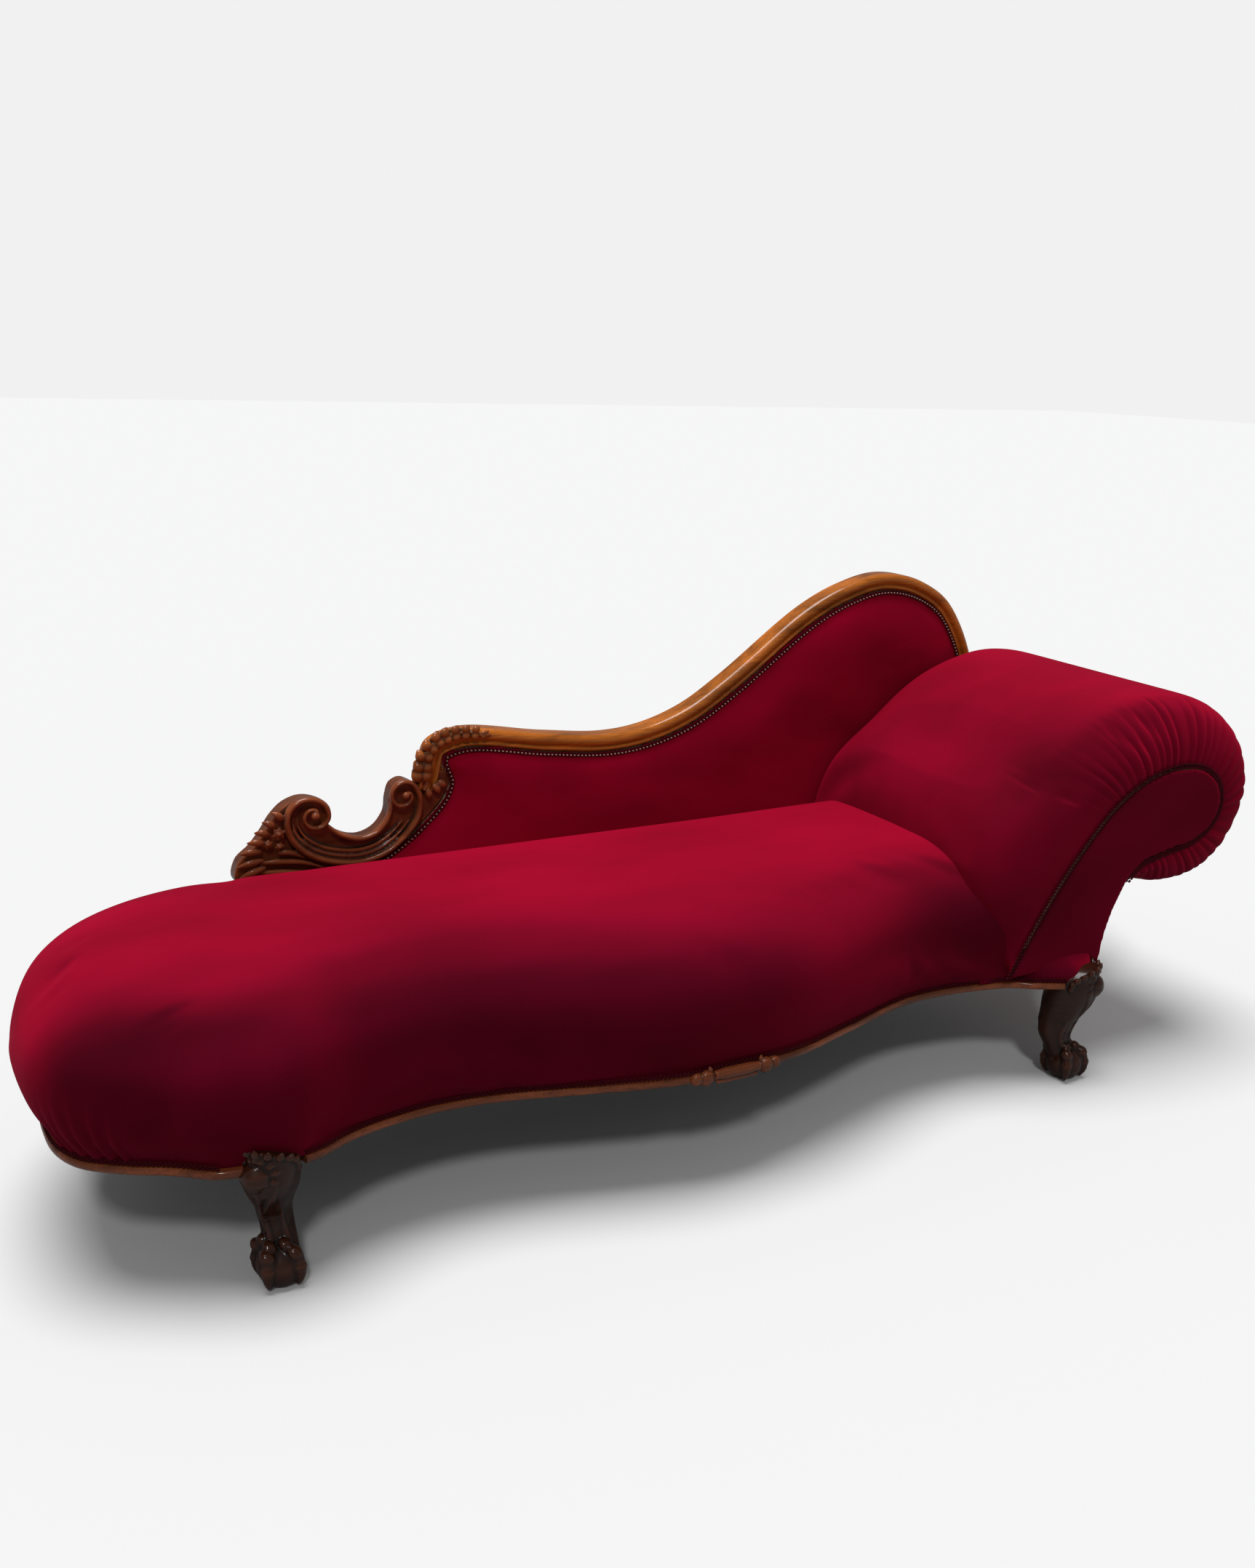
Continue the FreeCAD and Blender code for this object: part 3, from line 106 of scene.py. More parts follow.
# Back in the plane of the rear
BACK_LINE = [(-0.276, 0.532), (-0.262, 0.576), (-0.203, 0.596), (-0.038, 0.574), (0.083, 0.562),
             (0.165, 0.570),
             (0.250, 0.598), (0.334, 0.648), (0.506, 0.769), (0.598, 0.811), (0.690, 0.830), (0.786, 0.811),
             (0.868, 0.755), (0.942, 0.590), (0.892, 0.400), (0.822, 0.262)]
BACK_WOOD_WIDTH = 0.031
BACK_WOOD_FRONT = 0.276
BACK_WOOD_DEPTH = 0.040
RAIL_FOOT = (-0.2835, 0.499)

# Carved scroll, in the plane of the rear: its rim runs from the eye of the big volute to the small one's
SCROLL_RIM = [(-0.472, 0.477), (-0.470, 0.486), (-0.483, 0.487), (-0.491, 0.474), (-0.482, 0.458),
              (-0.463, 0.455), (-0.449, 0.470),
              (-0.454, 0.492), (-0.473, 0.504), (-0.497, 0.503), (-0.514, 0.490), (-0.519, 0.467),
              (-0.512, 0.440), (-0.492, 0.416),
              (-0.460, 0.397), (-0.424, 0.387), (-0.388, 0.385), (-0.352, 0.394), (-0.318, 0.417),
              (-0.292, 0.448), (-0.286, 0.473),
              (-0.289, 0.496), (-0.302, 0.514), (-0.320, 0.517), (-0.335, 0.506), (-0.337, 0.490),
              (-0.327, 0.477), (-0.312, 0.477),
              (-0.303, 0.487), (-0.306, 0.498), (-0.315, 0.499)]
SCROLL_CHANNEL = slice(10, 21)
SCROLL_LIP = [(-0.453, 0.458), (-0.438, 0.444), (-0.420, 0.433), (-0.396, 0.426), (-0.370, 0.431),
              (-0.351, 0.447), (-0.341, 0.466),
              (-0.338, 0.484)]
SCROLL_OUTLINE = [(-0.604, 0.372), (-0.600, 0.405), (-0.575, 0.428), (-0.556, 0.452), (-0.540, 0.476),
                  (-0.518, 0.496), (-0.490, 0.505),
                  (-0.464, 0.500), (-0.443, 0.486), (-0.441, 0.467), (-0.449, 0.455), (-0.432, 0.440),
                  (-0.405, 0.427), (-0.383, 0.426), (-0.360, 0.436),
                  (-0.342, 0.460), (-0.338, 0.488), (-0.330, 0.510), (-0.312, 0.518), (-0.296, 0.512),
                  (-0.284, 0.506), (-0.277, 0.530),
                  (-0.226, 0.520), (-0.238, 0.482), (-0.280, 0.436), (-0.352, 0.386), (-0.420, 0.366),
                  (-0.500, 0.364)]
SCROLL_LOW_LINE = [(-0.604, 0.372), (-0.500, 0.364), (-0.420, 0.366), (-0.352, 0.386), (-0.280, 0.436),
                   (-0.238, 0.482), (-0.226, 0.520)]
BIG_EYE = (-0.473, 0.477)
SMALL_EYE = (-0.314, 0.495)
EDGE_LOBES = [((-0.524, 0.474), (-0.546, 0.490)), ((-0.538, 0.464), (-0.562, 0.474)),
              ((-0.548, 0.452), (-0.575, 0.457)),
              ((-0.556, 0.438), (-0.588, 0.441)), ((-0.562, 0.424), (-0.601, 0.423)),
              ((-0.560, 0.409), (-0.607, 0.400)),
              ((-0.556, 0.396), (-0.603, 0.381)), ((-0.262, 0.508), (-0.248, 0.486)),
              ((-0.272, 0.502), (-0.268, 0.478)),
              ((-0.254, 0.512), (-0.236, 0.498))]
SWEPT_LEAVES = [[(-0.566, 0.404), (-0.530, 0.402), (-0.494, 0.396), (-0.458, 0.382)],
                [(-0.572, 0.388), (-0.530, 0.384), (-0.480, 0.376), (-0.430, 0.374)],
                [(-0.536, 0.418), (-0.514, 0.416), (-0.490, 0.404)]]
ROSETTES = [((-0.534, 0.452), 0.0125), ((-0.553, 0.436), 0.010), ((-0.533, 0.430), 0.009)]
CORNER_LEAF = [(-0.286, 0.503), (-0.283, 0.530), (-0.278, 0.556), (-0.263, 0.578), (-0.238, 0.591),
               (-0.210, 0.5945), (-0.184, 0.592),
               (-0.162, 0.586)]

# Front legs: height, then how far out along the diagonal the middle lies, half depth, half width
LEG_SECTIONS = [(0.060, -0.014, 0.024, 0.0205), (0.084, -0.022, 0.027, 0.0195),
                (0.106, -0.020, 0.032, 0.0205), (0.130, -0.009, 0.038, 0.025),
                (0.152, 0.0, 0.044, 0.032), (0.168, 0.004, 0.045, 0.038), (0.182, 0.004, 0.043, 0.041),
                (0.221, 0.004, 0.043, 0.041)]
BALL_R = 0.033
TALON_TURNS = [0.0, 82.0, -82.0, 180.0]
# Balls of a talon, then its nail: distance out as a share of the ball's radius, height, and a ball's radius
KNUCKLES = [(0.50, 0.061, 0.0095), (0.86, 0.052, 0.0108), (1.00, 0.033, 0.0100)]
NAIL = [(1.02, 0.030), (1.03, 0.019), (0.95, 0.010), (0.84, 0.004)]
# How far the ankle, the foot and the knee of the foot-end (-1) and head-end (1) legs are moved
STANCE = {-1: ((-0.0120, 0.0065), (0.0020, -0.001), (-0.0045, 0.0025)),
          1: ((0.0050, -0.003), (0.0060, -0.003), (0, 0))}

# Velvet meshes: samples along each half of the seat, its rows, and samples round the head
SEAT_PAIRS = 205
SEAT_ROWS = 54
HEAD_SAMPLES = 440
SEAT_TACK_Z = 0.202

# Fan of gathers at the foot end: what it turns about, its middle and half width in degrees, its foot
FAN_CENTRE = (-0.62, -0.05)
FAN_MIDDLE = 27.0
FAN_HALF = 11.0
FAN_FOOT_Z = 0.205

# Velvet under the facing: its line, then heights with the share of the way to the facing
SKIRT_LINE = [(0.540, -0.2555), (0.600, -0.266), (0.640, -0.290), (0.686, -0.312), (0.714, -0.322),
              (0.756, -0.305), (0.779, -0.262), (0.781, -0.200)]
SKIRT_LEVELS = [(0.1965, 0.0), (0.206, -0.03), (0.217, 0.25), (0.228, 0.75), (0.238, 1.0), (0.250, 1.04)]
SKIRT_END_X = 0.778
OUTSIDE_HEAD_LINE = [(0.838, 0.356), (0.812, 0.312), (0.796, 0.262), (0.789, 0.206)]
OUTSIDE_HEAD_THICK = 0.0028

# Sections of the show wood: distance in from the outline, then depth or height
BACK_PROFILE = [(0.000, BACK_WOOD_DEPTH), (0.000, 0.012), (0.0012, 0.0060), (0.0042, 0.0020),
                (0.0090, -0.0004),
                (0.0140, -0.0006), (0.0178, 0.0014), (0.0196, 0.0046), (0.0206, 0.0062), (0.0222, 0.0062),
                (0.0232, 0.0042), (0.0250, 0.0026), (0.0272, 0.0026), (0.0292, 0.0042), (0.0306, 0.0074),
                (BACK_WOOD_WIDTH, 0.0120), (BACK_WOOD_WIDTH, 0.0135), (BACK_WOOD_WIDTH + 0.012, 0.0135),
                (BACK_WOOD_WIDTH + 0.012, 0.0300), (BACK_WOOD_WIDTH, 0.0300),
                (BACK_WOOD_WIDTH, BACK_WOOD_DEPTH)]
MOULD_PROFILE = [(-0.016, 0.0), (-0.004, 0.0), (-0.0018, 0.0010), (-0.0004, 0.0034), (0.0, 0.0065),
                 (-0.0004, 0.0092), (-0.0020, 0.0116), (-0.0046, MOULD_HEIGHT), (-0.016, MOULD_HEIGHT)]
HEAD_MOULD_LINE = [(0.784, -0.249), (0.784, 0.283)]
FOOT_MOULD_START = (-0.715, 0.314)

# Braid: a loop's length as a share of the pitch, its width as a share of the braid's, its depth
LOOP_LENGTH = 1.05
LOOP_WIDTH = 0.48
LOOP_DEPTH = 0.0026
NAIL_PITCH = 0.0075

# Suns: where each shines from, its strength and its spread in radians
KEY_LIGHT = ((-0.25, 0.2, 3.0), 2.50, 0.60)
FRONT_LIGHT = ((-0.9, -1.9, 2.2), 0.55, 0.13)
AMBIENT = 0.19
FLOOR_BOUNCE = 0.30
FLOOR_SHARE = 0.95


class VelvetLook(bpy.types.PropertyGroup):
    # Colour and deep are the lit and shaded ends of the velvet's painted sheen and painted top light.
    colour: bpy.props.FloatVectorProperty(name="Colour", description="Velvet where light falls on the nap",
                                          subtype="COLOR",
                                          size=3, min=0, max=1, default=(0.345, 0.001, 0.021))
    deep: bpy.props.FloatVectorProperty(name="Deep", description="Velvet seen straight down its nap",
                                        subtype="COLOR",
                                        size=3, min=0, max=1, default=(0.072, 0.0, 0.007))
    sheen: bpy.props.FloatProperty(name="Sheen", description="Light caught by the tips of the nap",
                                   subtype="FACTOR",
                                   min=0, max=1, default=0.20)
    swell: bpy.props.FloatProperty(name="Swell",
                                   description="Furthest that the stuffing pushes the cloth out",
                                   subtype="DISTANCE",
                                   unit="LENGTH", default=0.008)


class GatherShape(bpy.types.PropertyGroup):
    pleats: bpy.props.IntProperty(name="Pleats",
                                  description="Pleats that the front outline would hold all round",
                                  default=58, min=0)
    pleat_depth: bpy.props.FloatProperty(name="Pleat depth", description="Depth of a pleat at the gimp",
                                         subtype="DISTANCE",
                                         unit="LENGTH", default=0.0030)
    gathers: bpy.props.IntProperty(name="Gathers",
                                   description="Gathers at the front corner of the foot end", default=7,
                                   min=0)
    gather_depth: bpy.props.FloatProperty(name="Gather depth",
                                          description="Depth of a gather at the moulding",
                                          subtype="DISTANCE",
                                          unit="LENGTH", default=0.0048)


class WoodLook(bpy.types.PropertyGroup):
    honey: bpy.props.FloatVectorProperty(name="Honey", description="Polished wood of the back",
                                         subtype="COLOR", size=3,
                                         min=0, max=1, default=(0.52, 0.145, 0.014))
    russet: bpy.props.FloatVectorProperty(name="Russet", description="Mouldings and scroll",
                                          subtype="COLOR", size=3,
                                          min=0, max=1, default=(0.26, 0.064, 0.020))
    dark: bpy.props.FloatVectorProperty(name="Dark", description="Legs", subtype="COLOR", size=3,
                                        min=0, max=1, default=(0.058, 0.016, 0.007))


class BraidShape(bpy.types.PropertyGroup):
    width: bpy.props.FloatProperty(name="Width", description="Width of the gimp braid", subtype="DISTANCE",
                                   unit="LENGTH", default=0.009)
    pitch: bpy.props.FloatProperty(name="Pitch", description="From one loop of the braid to the next",
                                   subtype="DISTANCE",
                                   unit="LENGTH", default=0.0065)


class StageShape(bpy.types.PropertyGroup):
    azimuth: bpy.props.FloatProperty(name="Azimuth", description="Camera's turn about the couch",
                                     subtype="ANGLE", unit="ROTATION",
                                     default=math.radians(-28.9016))
    elevation: bpy.props.FloatProperty(name="Elevation", description="Camera above the horizon",
                                       subtype="ANGLE", unit="ROTATION",
                                       default=math.radians(16.14))
    roll: bpy.props.FloatProperty(name="Roll", description="Camera's tilt", subtype="ANGLE",
                                  unit="ROTATION",
                                  default=math.radians(-1.80326))
    place: bpy.props.FloatVectorProperty(name="Place", description="Camera, from the middle of the legs",
                                         subtype="TRANSLATION",
                                         unit="LENGTH", size=3, default=(-1.1664, -2.0590, 1.2362))
    lens: bpy.props.FloatProperty(name="Lens",
                                  description="Focal length in millimetres on a 36 mm long side",
                                  default=34.35)
    ground: bpy.props.FloatVectorProperty(name="Ground", description="Floor and backdrop", subtype="COLOR",
                                          size=3,
                                          min=0, max=1, default=(0.88, 0.88, 0.88))


def alone(obj):
    """Select one object and make it active."""
    bpy.ops.object.select_all(action="DESELECT")
    obj.select_set(True)
    bpy.context.view_layer.objects.active = obj
    return obj


def points_of(obj):
    co = np.empty(len(obj.data.vertices) * 3)
    obj.data.vertices.foreach_get("co", co)
    return co.reshape(-1, 3)


def put_points(obj, co):
    obj.data.vertices.foreach_set("co", np.asarray(co, np.float64).ravel())
    obj.data.update()


def normals_of(obj):
    no = np.empty(len(obj.data.vertices) * 3)
    obj.data.vertices.foreach_get("normal", no)
    return no.reshape(-1, 3)


def new_mesh(name, vertices, faces):
    mesh = bpy.data.meshes.new(name)
    mesh.from_pydata([tuple(v) for v in vertices], [], faces)
    obj = bpy.data.objects.new(name, mesh)
    bpy.context.scene.collection.objects.link(obj)
    alone(obj)
    return obj


def apply_all(obj):
    alone(obj)
    for modifier in list(obj.modifiers):
        bpy.ops.object.modifier_apply(modifier=modifier.name)


def outward(obj):
    alone(obj)
    bpy.ops.object.mode_set(mode="EDIT")
    bpy.ops.mesh.select_all(action="SELECT")
    bpy.ops.mesh.remove_doubles(threshold=0.00002)
    bpy.ops.mesh.normals_make_consistent(inside=False)
    bpy.ops.object.mode_set(mode="OBJECT")


def through(points, step=0.004, closed=False):
    """Smooth line through the points, sampled about every step."""
    pts = [np.array(p, float) for p in points]
    count = len(pts)
    if closed:
        pts = [pts[-1]] + pts + [pts[0], pts[1]]
    else:
        pts = [2 * pts[0] - pts[1]] + pts + [2 * pts[-1] - pts[-2]]
    out = []
    spans = count if closed else count - 1
    for i in range(spans):
        a, b, c, d = pts[i:i + 4]
        ta = np.linalg.norm(b - a) ** 0.5
        tb = ta + np.linalg.norm(c - b) ** 0.5
        tc = tb + np.linalg.norm(d - c) ** 0.5
        n = max(2, int(round(np.linalg.norm(c - b) / step)))
        for k in range(n):
            t = ta + (tb - ta) * k / n
            p1 = a * (ta - t) / ta + b * t / ta
            p2 = b * (tb - t) / (tb - ta) + c * (t - ta) / (tb - ta)
            p3 = c * (tc - t) / (tc - tb) + d * (t - tb) / (tc - tb)
            q1 = p1 * (tb - t) / tb + p2 * t / tb
            q2 = p2 * (tc - t) / (tc - ta) + p3 * (t - ta) / (tc - ta)
            out.append(q1 * (tb - t) / (tb - ta) + q2 * (t - ta) / (tb - ta))
    if not closed:
        out.append(pts[-2])
    return np.array(out)


def evenly(line, count):
    """A sampled line taken again at equal steps."""
    line = np.asarray(line)
    seg = np.linalg.norm(np.diff(line, axis=0), axis=1)
    along = np.concatenate([[0], np.cumsum(seg)])
    at = np.linspace(0, along[-1], count)
    return np.stack([np.interp(at, along, line[:, i]) for i in range(line.shape[1])], axis=1)


def sides_of(line):
    """Unit vectors to the right of a flat line."""
    way = np.gradient(line, axis=0)
    way /= np.linalg.norm(way, axis=1)[:, None]
    return np.stack([way[:, 1], -way[:, 0]], axis=1)


def on_floor_plan(points, z):
    return np.array([(x + MIDDLE.x, y + MIDDLE.y, z) for x, y in points])


def on_wall(points, y):
    return np.array([(x + MIDDLE.x, y + MIDDLE.y, z) for x, z in points])


def sheet_mesh(name, rows, closed=False):
    """Quad mesh through equal rows of points."""
    rows = np.asarray(rows)
    m, n = rows.shape[:2]
    faces = []
    for i in range(m - 1):
        for j in range(n if closed else n - 1):
            k = (j + 1) % n
            faces.append((i * n + j, i * n + k, (i + 1) * n + k, (i + 1) * n + j))
    return new_mesh(name, rows.reshape(-1, 3), faces)


def swept(name, line, profile, lift):
    """Profile carried along a flat line.

    A point of the profile is its distance to the right of the line and its distance along lift.
    """
    line = np.asarray(line)
    lift = np.asarray(lift, float)
    flat = line[:, :2] if lift[2] else line[:, [0, 2]]
    right = sides_of(flat)
    full = np.zeros_like(line)
    if lift[2]:
        full[:, :2] = right
    else:
        full[:, [0, 2]] = right
    rows = [line + full * a + lift * b for a, b in profile]
    rows.append(rows[0])
    obj = sheet_mesh(name, rows)
    bm = bmesh.new()
    bm.from_mesh(obj.data)
    bmesh.ops.remove_doubles(bm, verts=bm.verts, dist=1e-6)
    bmesh.ops.holes_fill(bm, edges=bm.edges, sides=0)
    bmesh.ops.recalc_face_normals(bm, faces=bm.faces)
    bm.to_mesh(obj.data)
    bm.free()
    return obj


def form_copy(name, node, voxel, stretch=None):
    """Closed, evenly meshed copy of a CAD node's form, for work that the node itself can't take."""
    obj = bpy.data.objects.new(name, NODES[node].data.copy())
    bpy.context.scene.collection.objects.link(obj)
    obj.data.materials.clear()
    alone(obj)
    bpy.ops.object.mode_set(mode="EDIT")
    bpy.ops.mesh.select_all(action="SELECT")
    bpy.ops.mesh.remove_doubles(threshold=0.00002)
    bpy.ops.object.mode_set(mode="OBJECT")
    if stretch:
        axis, keep, times = stretch
        co = points_of(obj)
        co[:, axis] = keep + (co[:, axis] - keep) * times
        put_points(obj, co)
    remesh = obj.modifiers.new("Even mesh", "REMESH")
    remesh.mode = "VOXEL"
    remesh.voxel_size = voxel
    apply_all(obj)
    return obj


def relaxed(obj, rounds, factor=0.5, weights=None):
    """Smooth an object's surface, by less where the weights are lower."""
    co = points_of(obj)
    edges = np.empty(len(obj.data.edges) * 2, int)
    obj.data.edges.foreach_get("vertices", edges)
    count = np.bincount(edges, minlength=len(co))[:, None].clip(1)
    one, other = edges.reshape(-1, 2).T
    share = factor if weights is None else factor * weights[:, None]
    for _ in range(rounds):
        total = np.stack([np.bincount(one, co[other, k], len(co)) + np.bincount(other, co[one, k], len(co))
                          for k in range(3)], axis=1)
        co = co + (total / count - co) * share
    put_points(obj, co)
    return obj


def tube(path, radii, flat=1.0, facing=(0, -1, 0), sides=10, step=0.003):
    """Bar along a smooth path, its radii spread evenly over its length and its depth a share of its width."""
    line = through(path, step) if len(path) > 2 else evenly(path, 10)
    way = np.gradient(line, axis=0)
    way /= np.linalg.norm(way, axis=1)[:, None]
    facing = np.asarray(facing, float)
    up = facing - way * (way @ facing)[:, None]
    up /= np.linalg.norm(up, axis=1)[:, None]
    side = np.cross(way, up)
    radius = np.interp(np.linspace(0, 1, len(line)), np.linspace(0, 1, len(radii)), radii)
    turns = np.linspace(0, 2 * np.pi, sides, endpoint=False)
    rings = [line[k] + radius[k] * (np.outer(np.cos(turns), side[k])
                                    + flat * np.outer(np.sin(turns), up[k]))
             for k in range(len(line))]
    faces = []
    for k in range(len(line) - 1):
        for j in range(sides):
            n = (j + 1) % sides
            faces.append((k * sides + j, k * sides + n, (k + 1) * sides + n, (k + 1) * sides + j))
    first, last = len(line) * sides, len(line) * sides + 1
    faces += [(first, (j + 1) % sides, j) for j in range(sides)]
    base = (len(line) - 1) * sides
    faces += [(last, base + j, base + (j + 1) % sides) for j in range(sides)]
    return np.concatenate(rings + [line[:1], line[-1:]]), faces


LOBE = [0.35, 0.75, 0.95, 1.0, 0.92, 0.72, 0.42, 0.12]
BALL = [0.05, 0.60, 0.80, 0.92, 0.98, 1.0, 0.98, 0.92, 0.80, 0.60, 0.05]


def lobe(start, end, width, bend=(0, 0, 0), flat=0.8, facing=(0, -1, 0)):
    """Leaf-shaped lump from start to end, blunt at its start."""
    start, end = np.asarray(start, float), np.asarray(end, float)
    middle = 0.5 * (start + end) + np.asarray(bend, float)
    return tube([start, middle, end], [width * share for share in LOBE], flat, facing)


def ball(centre, radius, flat=1.0, facing=(0, -1, 0)):
    centre = np.asarray(centre, float)
    half = np.array((radius, 0, 0))
    return tube([centre - half, centre + half], [radius * share for share in BALL], flat, facing)


def plate(outline, front, rear):
    """Flat body of an outline in the plane of the rear."""
    count = len(outline)
    vertices = np.concatenate([on_wall(outline, front), on_wall(outline, rear)])
    faces = [tuple(range(count)), tuple(range(2 * count - 1, count - 1, -1))]
    faces += [(k, k + count, (k + 1) % count + count, (k + 1) % count) for k in range(count)]
    return vertices, faces


def painted_recess_shade(obj, depth, rounds=14):
    """Write how far each point stands out of its surroundings, as a mask for painted shade in the recesses.
    """
    co, no = points_of(obj), normals_of(obj)
    relaxed(obj, rounds)
    height = np.einsum("ij,ij->i", co - points_of(obj), no) / depth
    put_points(obj, co)
    mark = obj.data.attributes.new("carving", "FLOAT", "POINT")
    mark.data.foreach_set("value", np.clip(0.55 + 0.45 * height, 0, 1).astype(np.float32))


def fused(name, shapes, voxel, rounds, body=None, depth=0.0006):
    """Carving worked into one surface from overlapping bars, lobes and plates."""
    points, faces, start = [], [], 0
    for vertices, polygons in shapes:
        points.append(vertices)
        faces += [tuple(i + start for i in face) for face in polygons]
        start += len(vertices)
    obj = new_mesh(name, np.concatenate(points), faces)
    if body:
        obj = joined(name, [obj, body])
    remesh = obj.modifiers.new("One surface", "REMESH")
    remesh.mode = "VOXEL"
    remesh.voxel_size = voxel
    apply_all(obj)
    relaxed(obj, rounds)
    # Mask of painted shade: the lower a point lies in its recess, the darker it is painted.
    painted_recess_shade(obj, depth)
    smooth_shaded(obj)
    return obj


def stuffed(obj, cap, pinned, pressure=2.0):
    """Cloth blown out by its stuffing: simulated, with how far a point moves capped, and applied."""
    before = points_of(obj)
    alone(obj)
    cloth = obj.modifiers.new("Stuffing", "CLOTH")
    settings = cloth.settings
    settings.quality = 5
    settings.mass = 0.3
    settings.use_pressure = True
    settings.uniform_pressure_force = pressure
    settings.effector_weights.gravity = 0
    settings.tension_stiffness = 25
    settings.compression_stiffness = 25
    settings.bending_stiffness = 2.0
    cloth.collision_settings.use_collision = False
    group = obj.vertex_groups.new(name="Tacked")
    group.add([int(i) for i in np.nonzero(pinned)[0]], 1.0, "REPLACE")
    settings.vertex_group_mass = "Tacked"
    scene = bpy.context.scene
    cloth.point_cache.frame_start = 1
    cloth.point_cache.frame_end = 20
    for step in range(1, 21):
        scene.frame_set(step)
    after = np.empty(len(obj.data.vertices) * 3)
    evaluated = obj.evaluated_get(bpy.context.evaluated_depsgraph_get())
    evaluated.data.vertices.foreach_get("co", after)
    after = after.reshape(-1, 3)
    obj.modifiers.remove(cloth)
    obj.vertex_groups.clear()
    scene.frame_set(1)
    move = after - before
    far = np.linalg.norm(move, axis=1)[:, None].clip(1e-9)
    put_points(obj, before + move * np.minimum(1.0, cap / far))
    return obj


def finer(obj, levels=1):
    modifier = obj.modifiers.new("Finer", "SUBSURF")
    modifier.levels = levels
    modifier.render_levels = levels
    apply_all(obj)
    return obj


def smooth_shaded(obj, angle=None):
    alone(obj)
    if angle is None:
        bpy.ops.object.shade_smooth()
    else:
        bpy.ops.object.shade_smooth_by_angle(angle=math.radians(angle))
    return obj


def finished(obj, material, slot, *stands_for):
    obj.data.materials.clear()
    obj.data.materials.append(material)
    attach(obj, "root")
    if stands_for:
        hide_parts(*stands_for)
    return obj


def joined(name, objects):
    bpy.ops.object.select_all(action="DESELECT")
    for obj in objects:
        obj.select_set(True)
    bpy.context.view_layer.objects.active = objects[0]
    bpy.ops.object.join()
    obj = bpy.context.view_layer.objects.active
    obj.name = name
    obj.data.name = name
    return obj


# Materials

def placed(nodes, kind, **values):
    """New node of a kind, with the given values on its sockets."""
    node = nodes.new("ShaderNode" + kind)
    for name, value in values.items():
        node.inputs[name.replace("_", " ")].default_value = value
    return node


def calculated(nodes, operation):
    node = nodes.new("ShaderNodeMath")
    node.operation = operation
    return node


def mixed(nodes, blend="MIX"):
    """Node that mixes two colours."""
    node = nodes.new("ShaderNodeMix")
    node.data_type = "RGBA"
    node.blend_type = blend
    return node


def group_tree(name, outputs, **inputs):
    """Node group with numbers in and out, and what is needed to fill it."""
    tree = bpy.data.node_groups.new(name, "ShaderNodeTree")
    for socket, value in inputs.items():
        made = tree.interface.new_socket(name=socket, in_out="INPUT", socket_type="NodeSocketFloat")
        made.default_value = value
    for socket in outputs:
        tree.interface.new_socket(name=socket, in_out="OUTPUT", socket_type="NodeSocketFloat")
    nodes = tree.nodes
    return tree, nodes, tree.links, nodes.new("NodeGroupInput"), nodes.new("NodeGroupOutput")


def nap_group():
    """Brushed nap: a slow mottle, fine fibre and height."""
    name = "Velvet nap"
    if name in bpy.data.node_groups:
        return bpy.data.node_groups[name]
    tree, nodes, links, given, out = group_tree(name, ("Mottle", "Height"), Brushing=4.0, Fibre=900.0)
    place = nodes.new("ShaderNodeTexCoord")
    stretch = placed(nodes, "Mapping", Scale=(0.45, 1.0, 1.0))
    slow = placed(nodes, "TexNoise", Detail=3.0)
    fine = placed(nodes, "TexNoise", Detail=2.0)
    shade = placed(nodes, "MapRange", From_Min=0.3, From_Max=0.7)
    blend = calculated(nodes, "MULTIPLY_ADD")
    blend.inputs[1].default_value = 0.30
    links.new(place.outputs["Object"], stretch.inputs["Vector"])
    links.new(stretch.outputs["Vector"], slow.inputs["Vector"])
    links.new(place.outputs["Object"], fine.inputs["Vector"])
    links.new(given.outputs["Brushing"], slow.inputs["Scale"])
    links.new(given.outputs["Fibre"], fine.inputs["Scale"])
    links.new(slow.outputs["Fac"], shade.inputs["Value"])
    links.new(fine.outputs["Fac"], blend.inputs[0])
    links.new(shade.outputs["Result"], blend.inputs[2])
    links.new(blend.outputs["Value"], out.inputs["Mottle"])
    links.new(fine.outputs["Fac"], out.inputs["Height"])
    return tree


def grain_group():
    """Walnut figure: long wavering bands with fine pores, along the piece's X."""
    name = "Walnut figure"
    if name in bpy.data.node_groups:
        return bpy.data.node_groups[name]
    tree, nodes, links, given, out = group_tree(name, ("Figure", "Pores"), Bands=28.0)
    place = nodes.new("ShaderNodeTexCoord")
    lengthwise = placed(nodes, "Mapping", Scale=(0.09, 1.0, 1.0))
    bands = placed(nodes, "TexNoise", Detail=5.0, Roughness=0.6, Distortion=0.6)
    fine = placed(nodes, "Mapping", Scale=(0.05, 1.0, 1.0))
    pores = placed(nodes, "TexNoise", Scale=420.0, Detail=2.0)
    spread = placed(nodes, "MapRange", From_Min=0.32, From_Max=0.68)
    links.new(place.outputs["Object"], lengthwise.inputs["Vector"])
    links.new(lengthwise.outputs["Vector"], bands.inputs["Vector"])
    links.new(given.outputs["Bands"], bands.inputs["Scale"])
    links.new(place.outputs["Object"], fine.inputs["Vector"])
    links.new(fine.outputs["Vector"], pores.inputs["Vector"])
    links.new(bands.outputs["Fac"], spread.inputs["Value"])
    links.new(spread.outputs["Result"], out.inputs["Figure"])
    links.new(pores.outputs["Fac"], out.inputs["Pores"])
    return tree


def weave_group():
    """Plain weave: threads over and under."""
    name = "Plain weave"
    if name in bpy.data.node_groups:
        return bpy.data.node_groups[name]
    tree, nodes, links, given, out = group_tree(name, ("Height",), Threads=300.0)
    place = nodes.new("ShaderNodeTexCoord")
    over = calculated(nodes, "MAXIMUM")
    for socket, axis in enumerate("XY"):
        wave = placed(nodes, "TexWave", Distortion=0.4)
        wave.bands_direction = axis
        links.new(place.outputs["Object"], wave.inputs["Vector"])
        links.new(given.outputs["Threads"], wave.inputs["Scale"])
        links.new(wave.outputs["Fac"], over.inputs[socket])
    links.new(over.outputs["Value"], out.inputs["Height"])
    return tree


